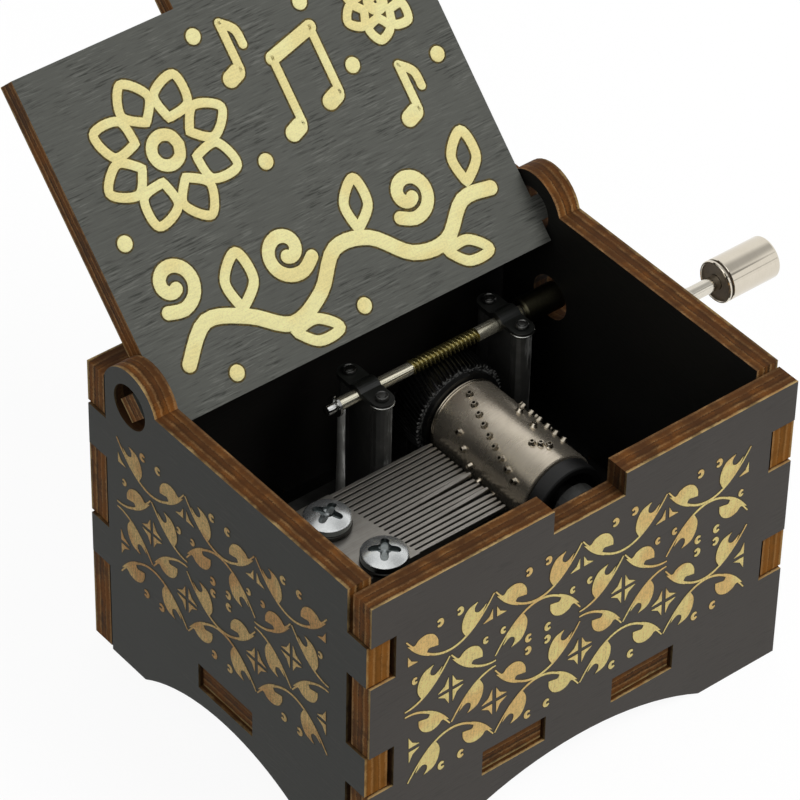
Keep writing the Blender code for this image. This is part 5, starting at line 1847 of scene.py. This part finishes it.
@dataclass
class Cylinder:
    """The pinned cylinder with its wheel, cap and arbor.

    Each run of the tune says its first lane, the step between lanes, how many pins it has,
    and the first pin's angle and the step between angles, in degrees.
    """

    radius: float = 5.1
    wall: float = 0.8
    soft: float = 0.12
    bead: float = 0.3
    beads: int = 2
    flange: float = 0.8
    pin_height: float = 0.5
    pin_foot: float = 0.5
    pin_rim: float = 0.38
    pin_hollow: float = 0.18
    lane_pitch: float = 0.79
    tune: tuple = ((16, -2, 9, 100.0, 6.5), (13, -2, 4, 148.0, 15.0), (9, -4, 2, 66.0, 6.0),
                   (2, -1, 3, 97.0, -7.0), (11, -2, 6, 40.0, 1.5), (4, 3, 5, 200.0, 11.0),
                   (15, -3, 5, 232.0, 8.0), (1, 2, 7, 270.0, 5.0), (16, -2, 6, 300.0, 7.5),
                   (3, 4, 4, 345.0, 9.0), (0, 3, 5, 12.0, 5.0))
    cap_radius: float = 4.85
    cap_soft: float = 0.15
    cap_lip: float = 0.9
    cap_recess: float = 1.3
    hub_radius: float = 1.7
    bore: float = 0.86
    spigot: float = 4.2
    cap_length: float = 2.2

    def build(self) -> None:
        """Build the tube, the cap and the arbor, and dress the wheel."""
        axis = joint_place("cylinder_turn")
        origin = Vector((axis.x, 0, axis.z))
        self.tube(origin)
        self.cap(origin)
        teeth = span("pinned_cylinder")[1].y + self.flange
        # The band along the teeth carries painted glints.
        dress("drive_gear", Satin("wheel_nylon", "0a0a0a", "131313", 0.3, 0.006, scuff_and_glint_colour="5f5f5d",
                                  glint_band=(teeth - 0.05, teeth + 0.18)), 0.03)
        low, high = span("cylinder_arbor")
        radius = (high.x - low.x) / 2
        profile = [(0, low.y), (radius - 0.2, low.y), (radius, low.y + 0.2),
                   (radius, high.y - 0.2), (radius - 0.2, high.y), (0, high.y)]
        Draft().turn(profile, origin, Y_AXIS, 40).piece(
            "cylinder_arbor", "steel", Body.CYLINDER, Slot.CHROME,
            Metal("arbor_steel", "d6d6d4", "a3a3a0", 0.2, Brushing.ROUND_Y))

    def tube(self, origin: Vector) -> None:
        """The nickel tube with its raised, hollow pins.

        Args:
            origin: the point on the axis from which distances count.
        """
        low, high = span("pinned_cylinder")
        inner, rim = self.radius - self.wall, self.radius - self.soft
        start = high.y - self.bead * self.beads
        profile = [(inner, low.y), (rim, low.y), (self.radius, low.y + self.soft),
                   (self.radius, start - 0.1)]
        for count in range(self.beads):
            profile += arc((rim, start + self.bead * (count + 0.5)), self.soft,
                           self.bead * 0.46, -90, 90, 6)
        profile += [(rim, high.y), (inner, high.y)]
        draft = Draft().turn(profile, origin, Y_AXIS, 128, closed=True,
                             second=range(3, 3 + 7 * self.beads))
        front = span("comb")[0].y
        for lane, step, count, angle, turn in self.tune:
            for index in range(count):
                self.pin(draft, origin + Y_AXIS * (front + (lane + index * step + 0.5)
                                                   * self.lane_pitch),
                         math.radians(angle + index * turn))
        draft.piece("pinned_cylinder", "tube", Body.CYLINDER, Slot.NICKEL,
                    Metal("cylinder_nickel_plate", "e6dccb", "9d927e", 0.22, Brushing.ROUND_Y,
                          0.16, 0.006, 0.84),
                    Metal("cylinder_pin_bright", "d3cab9", "978d7c", 0.24),
                    Metal("cylinder_pin_hollow_shade", "4a4336", "2c2820", 0.45))

    def pin(self, draft: Draft, middle: Vector, angle: float) -> None:
        """One raised pin with a hollow tip.

        Args:
            draft: the mesh that it joins.
            middle: the place on the cylinder's axis that it points away from.
            angle: where it stands round the cylinder.
        """
        outward = Vector((math.cos(angle), 0, math.sin(angle)))
        side = Vector((-math.sin(angle), 0, math.cos(angle)))
        levels = [(self.pin_foot, -0.2), (self.pin_foot, 0.02), (self.pin_rim + 0.03, 0.13),
                  (self.pin_rim, self.pin_height - 0.08), (self.pin_rim - 0.05, self.pin_height),
                  (self.pin_hollow + 0.03, self.pin_height), (self.pin_hollow, 0.4),
                  (self.pin_hollow * 0.8, 0.15)]
        # The hollow's band takes the dark third finish: painted shade in the hollow.
        draft.skin([draft.circle(middle + outward * (self.radius + height), side, Y_AXIS, radius,
                                 12) for radius, height in levels], (0, 1, 1, 1, 1, 1, 2))

    def cap(self, origin: Vector) -> None:
        """The black cap with its recessed face and hub.

        Args:
            origin: the point on the axis from which distances count.
        """
        low, high = span("cylinder_cap")
        front, soft = low.y, self.cap_soft
        seat, face = front + self.cap_length, front + self.cap_recess
        lip = self.cap_radius - self.cap_lip
        profile = [(self.bore, high.y), (self.spigot, high.y), (self.spigot, seat),
                   (self.cap_radius - soft, seat), (self.cap_radius, seat - soft),
                   (self.cap_radius, front + soft), (self.cap_radius - soft, front),
                   (lip + soft, front), (lip, front + soft), (lip - 0.1, face),
                   (self.hub_radius, face), (self.hub_radius, front + 0.2),
                   (self.hub_radius - 0.12, front + 0.1), (self.bore, front + 0.1)]
        Draft().turn(profile, origin, Y_AXIS, 96, closed=True).piece(
            "cylinder_cap", "moulding", Body.CYLINDER, Slot.NYLON,
            Satin("cap_satin_black", "0a0a0a", "141413", 0.5, 0.004))


@dataclass
class Crank:
    """The crank outside the wall: sleeve, bent rod and knob."""

    coupling_radius: float = 1.75
    coupling_bore: float = 1.05
    coupling_soft: float = 0.2
    rod_radius: float = 0.95
    corner_x: float = 6.9
    bend: float = 1.9
    bend_steps: int = 14
    knob_radius: float = 2.75
    knob_bore: float = 1.01
    knob_ring: float = 0.36
    groove: float = 0.3
    face_recess: float = 0.16
    rim: float = 0.3
    chamfer: float = 0.35
    end_wall: float = 1.3

    def build(self) -> None:
        """Build the sleeve, the rod and the knob."""
        chrome = Metal("crank_nickel", "e6e1d6", "cbc4b4", 0.11)
        shaft = joint_place("crank_turn")
        self.sleeve(shaft, chrome)
        self.rod(shaft, chrome)
        self.knob()

    def sleeve(self, shaft: Vector, chrome: Look) -> None:
        """The sleeve in the wall's hole, dark as painted shade, with a chrome band inside the hole
        as a painted glint.

        Args:
            shaft: a point on the shaft's axis.
            chrome: the band's finish.
        """
        low, high = span("crank_coupling")
        wall = span("right_wall")[0].x
        radius, soft = self.coupling_radius, self.coupling_soft
        profile = [(self.coupling_bore, low.x), (radius - soft, low.x), (radius, low.x + soft),
                   (radius, wall + 0.9), (radius, wall + 2.6), (radius, high.x - soft),
                   (radius - soft, high.x), (self.coupling_bore, high.x)]
        # Band 3 takes the chrome: a painted glint inside the hole; the rest is darkened as painted
        # shade.
        Draft().turn(profile, Vector((0, shaft.y, shaft.z)), X_AXIS, 64, closed=True,
                     second=(3,)).piece("crank_coupling", "sleeve", Body.CRANK, Slot.CHROME,
                                        Metal("sleeve_painted_shade", "5a5644", "2c2a20", 0.34), chrome)

    def rod(self, shaft: Vector, chrome: Look) -> None:
        """The bent rod.

        Args:
            shaft: a point on the shaft's axis.
            chrome: its finish.
        """
        low, high = span("crank_handle")
        knob = joint_place("knob_spin")
        arm = Vector((0, knob.y - shaft.y, knob.z - shaft.z))
        toward = arm.normalized()
        corner = Vector((span("right_wall")[1].x + self.corner_x, shaft.y, shaft.z))
        route = [Vector((low.x, shaft.y, shaft.z)), *self.bend_points(corner, X_AXIS, toward),
                 *self.bend_points(corner + arm, toward, X_AXIS),
                 Vector((high.x, shaft.y, shaft.z)) + arm]
        Draft().sweep(route, self.rod_radius, 32).piece("crank_handle", "rod", Body.CRANK,
                                                        Slot.CHROME, chrome)

    def bend_points(self, corner: Vector, incoming: Vector, outgoing: Vector) -> list[Vector]:
        """Points round one square bend.

        Args:
            corner: where the straight parts would meet.
            incoming: the way into the bend.
            outgoing: the way out of it.

        Returns:
            The points, ends included.
        """
        centre = corner - incoming * self.bend + outgoing * self.bend
        return [centre + incoming * ahead - outgoing * aside
                for aside, ahead in arc((0, 0), self.bend, self.bend, 0, 90, self.bend_steps)]

    def knob(self) -> None:
        """The barrel of the knob: a flat face in a thin rim, and a groove behind it; face and
        groove take a darker, duller finish as painted shade.
        """
        low, high = span("crank_knob")
        centre = joint_place("knob_spin")
        start, end = low.x, high.x
        radius, groove = self.knob_radius, self.groove
        inner, ring = radius - self.rim, start + self.knob_ring
        profile = [(self.knob_bore, start + self.face_recess), (inner, start + self.face_recess),
                   (inner + 0.02, start + 0.06), (inner + 0.08, start), (radius - 0.1, start),
                   (radius, start + 0.1), (radius, ring - 0.04), (radius - 0.06, ring),
                   (radius - groove, ring + 0.03), (radius - groove, ring + groove),
                   (radius - 0.06, ring + groove + 0.03), (radius, ring + groove + 0.09)]
        profile += arc((radius - self.chamfer, end - self.chamfer), self.chamfer, self.chamfer,
                       0, 90, 6)
        profile += [(0, end)]
        depth = end - self.end_wall
        line = Vector((0, centre.y, centre.z)), X_AXIS
        # Bands 0, 1, 7, 8 and 9, the face recess and the groove, take the darker finish: painted
        # shade.
        draft = Draft().turn(profile, *line, 96, second=(0, 1, 7, 8, 9))
        draft.turn([profile[0], (self.knob_bore, depth), (0, depth)], *line, 96, second=(0, 1))
        draft.piece("crank_knob", "barrel", Body.KNOB, Slot.CHROME,
                    Metal("knob_nickel", "e4dccd", "cbc2b1", 0.06, Brushing.ROUND_X, 0.04, 0.002),
                    Metal("knob_recess_painted_shade", "9a8f80", "655b50", 0.5, metallic=0.5))


@dataclass
class Studio:
    """The floor, the lamps, the world and the camera."""

    target: Vector = field(default_factory=lambda: Vector((-16.358, -11.459, 41.038)))
    distance: float = 529.678
    azimuth: float = -39.531
    elevation: float = 40.968
    roll: float = 1.299
    lens: float = 212.105
    sensor: float = 36.0
    floor_half: float = 1.2
    floor_grey: float = 0.22
    floor_glow: float = 1.55
    floor_share: float = 0.6
    soft_light: float = 0.24
    lamp_gain: float = 3.6

    def build(self) -> None:
        """Set the stage."""
        self.floor()
        self.world()
        self.lamp("key_lamp", (260, -420, 520), 380, 0.52, False)
        self.lamp("fill_lamp", (-520, -200, 480), 560, 0.11, True)
        self.lamp("back_lamp", (240, 400, 440), 420, 0.13, False)
        self.camera()
        bpy.context.scene.view_settings.view_transform = "Standard"

    def floor(self) -> None:
        """A plain pale floor that keeps the shadow."""
        half = self.floor_half
        mesh = bpy.data.meshes.new("floor")
        mesh.from_pydata([(-half, -half, 0), (half, -half, 0), (half, half, 0), (-half, half, 0)],
                         [], [(0, 1, 2, 3)])
        graph = Finish("floor_pale")
        graph.set(Base_Color=(*[self.floor_grey] * 3, 1.0), Roughness=0.9)
        glow = graph.node("Emission", {}, {"Color": "ffffff", "Strength": self.floor_glow})
        mixed = graph.node("MixShader", {}, {0: graph.shown() * self.floor_share,
                                             1: graph.plain, 2: glow})
        graph.feed(graph.output.inputs["Surface"], mixed)
        mesh.materials.append(graph.material)
        stand("floor", mesh)

    def world(self) -> None:
        """Soft light from all round, white behind the object, and a dim ceiling in its metal."""
        world = bpy.data.worlds.new("studio")
        bpy.context.scene.world = world
        world.use_nodes = True
        graph = Graph(world.node_tree)
        way = graph.node("TexCoord", {}, {}, "Generated")
        height, right, back = (graph.along(way, axis) for axis in (Z_AXIS, X_AXIS, Y_AXIS))
        front = 0.0 - back
        ceiling = height.rise(0.6, 0.78) * (1.0 - back.rise(0.0, 0.5)) * right.rise(0.1, 0.4)
        screen = (1.0 - right.rise(-0.45, 0.35)) * height.rise(0.3, 0.5) * back.rise(0.2, 0.5)
        gap = height.rise(0.52, 0.55) * (1.0 - height.rise(0.62, 0.7)) * front.rise(0.45, 0.6)
        skyline = height.rise(0.13, 0.16) * (1.0 - height.rise(0.19, 0.22)) * front.rise(0.6, 0.8)
        sky = ((1.0 - 0.62 * ceiling) * (1.0 - 0.8 * screen) * (1.0 - 0.9 * gap)
               * (1.0 - 0.6 * skyline))
        soft, white = (graph.node("Background", {}, {"Color": "ffffff", "Strength": strength})
                       for strength in (self.soft_light, 1.0))
        mixed = graph.node("MixShader", {}, {0: graph.shown(sky), 1: soft, 2: white})
        graph.add("OutputWorld", {}, {"Surface": mixed})

    def lamp(self, name: str, place: Sequence[float], size: float, level: float,
             glossy: bool) -> None:
        """One square lamp aimed at the object.

        Args:
            name: the lamp's name.
            place: where it stands.
            size: the length of its side.
            level: how strongly it lights a surface square to it.
            glossy: whether it shows in metal.
        """
        data = bpy.data.lights.new(name, "AREA")
        data.size = size * MM
        spot = Vector(place)
        away = (spot - self.target).length * MM
        data.energy = level * self.lamp_gain * math.pi * away ** 2
        lamp = stand(name, data)
        lamp.location = spot * MM
        lamp.rotation_euler = (self.target - spot).to_track_quat("-Z", "Y").to_euler()
        lamp.visible_glossy = glossy

    def camera(self) -> None:
        """The camera at the photograph's place."""
        azimuth, elevation, roll = (math.radians(value) for value in
                                    (self.azimuth, self.elevation, self.roll))
        back = Vector((math.sin(azimuth) * math.cos(elevation),
                       -math.cos(azimuth) * math.cos(elevation), math.sin(elevation)))
        right = Vector((math.cos(azimuth), math.sin(azimuth), 0))
        up = back.cross(right)
        across = right * math.cos(roll) + up * math.sin(roll)
        upright = -right * math.sin(roll) + up * math.cos(roll)
        data = bpy.data.cameras.new("camera")
        data.lens = self.lens
        data.sensor_width = self.sensor
        data.clip_start = 0.01
        data.clip_end = 10.0
        camera = stand("camera", data)
        camera.matrix_world = Matrix.Translation((self.target + back * self.distance) * MM) @ (
            Matrix((across, upright, back)).transposed().to_4x4())
        bpy.context.scene.camera = camera


def main() -> None:
    """Build every sub-assembly."""
    logging.basicConfig(level=logging.INFO, format="%(name)s %(message)s")
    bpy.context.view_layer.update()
    for assembly in (Studio(), Case(), Lid(), Movement(), Comb(), WormShaft(), Cylinder(),
                     Crank()):
        log.info("building the %s", type(assembly).__name__)
        assembly.build()


if __name__ == "__main__":
    main()
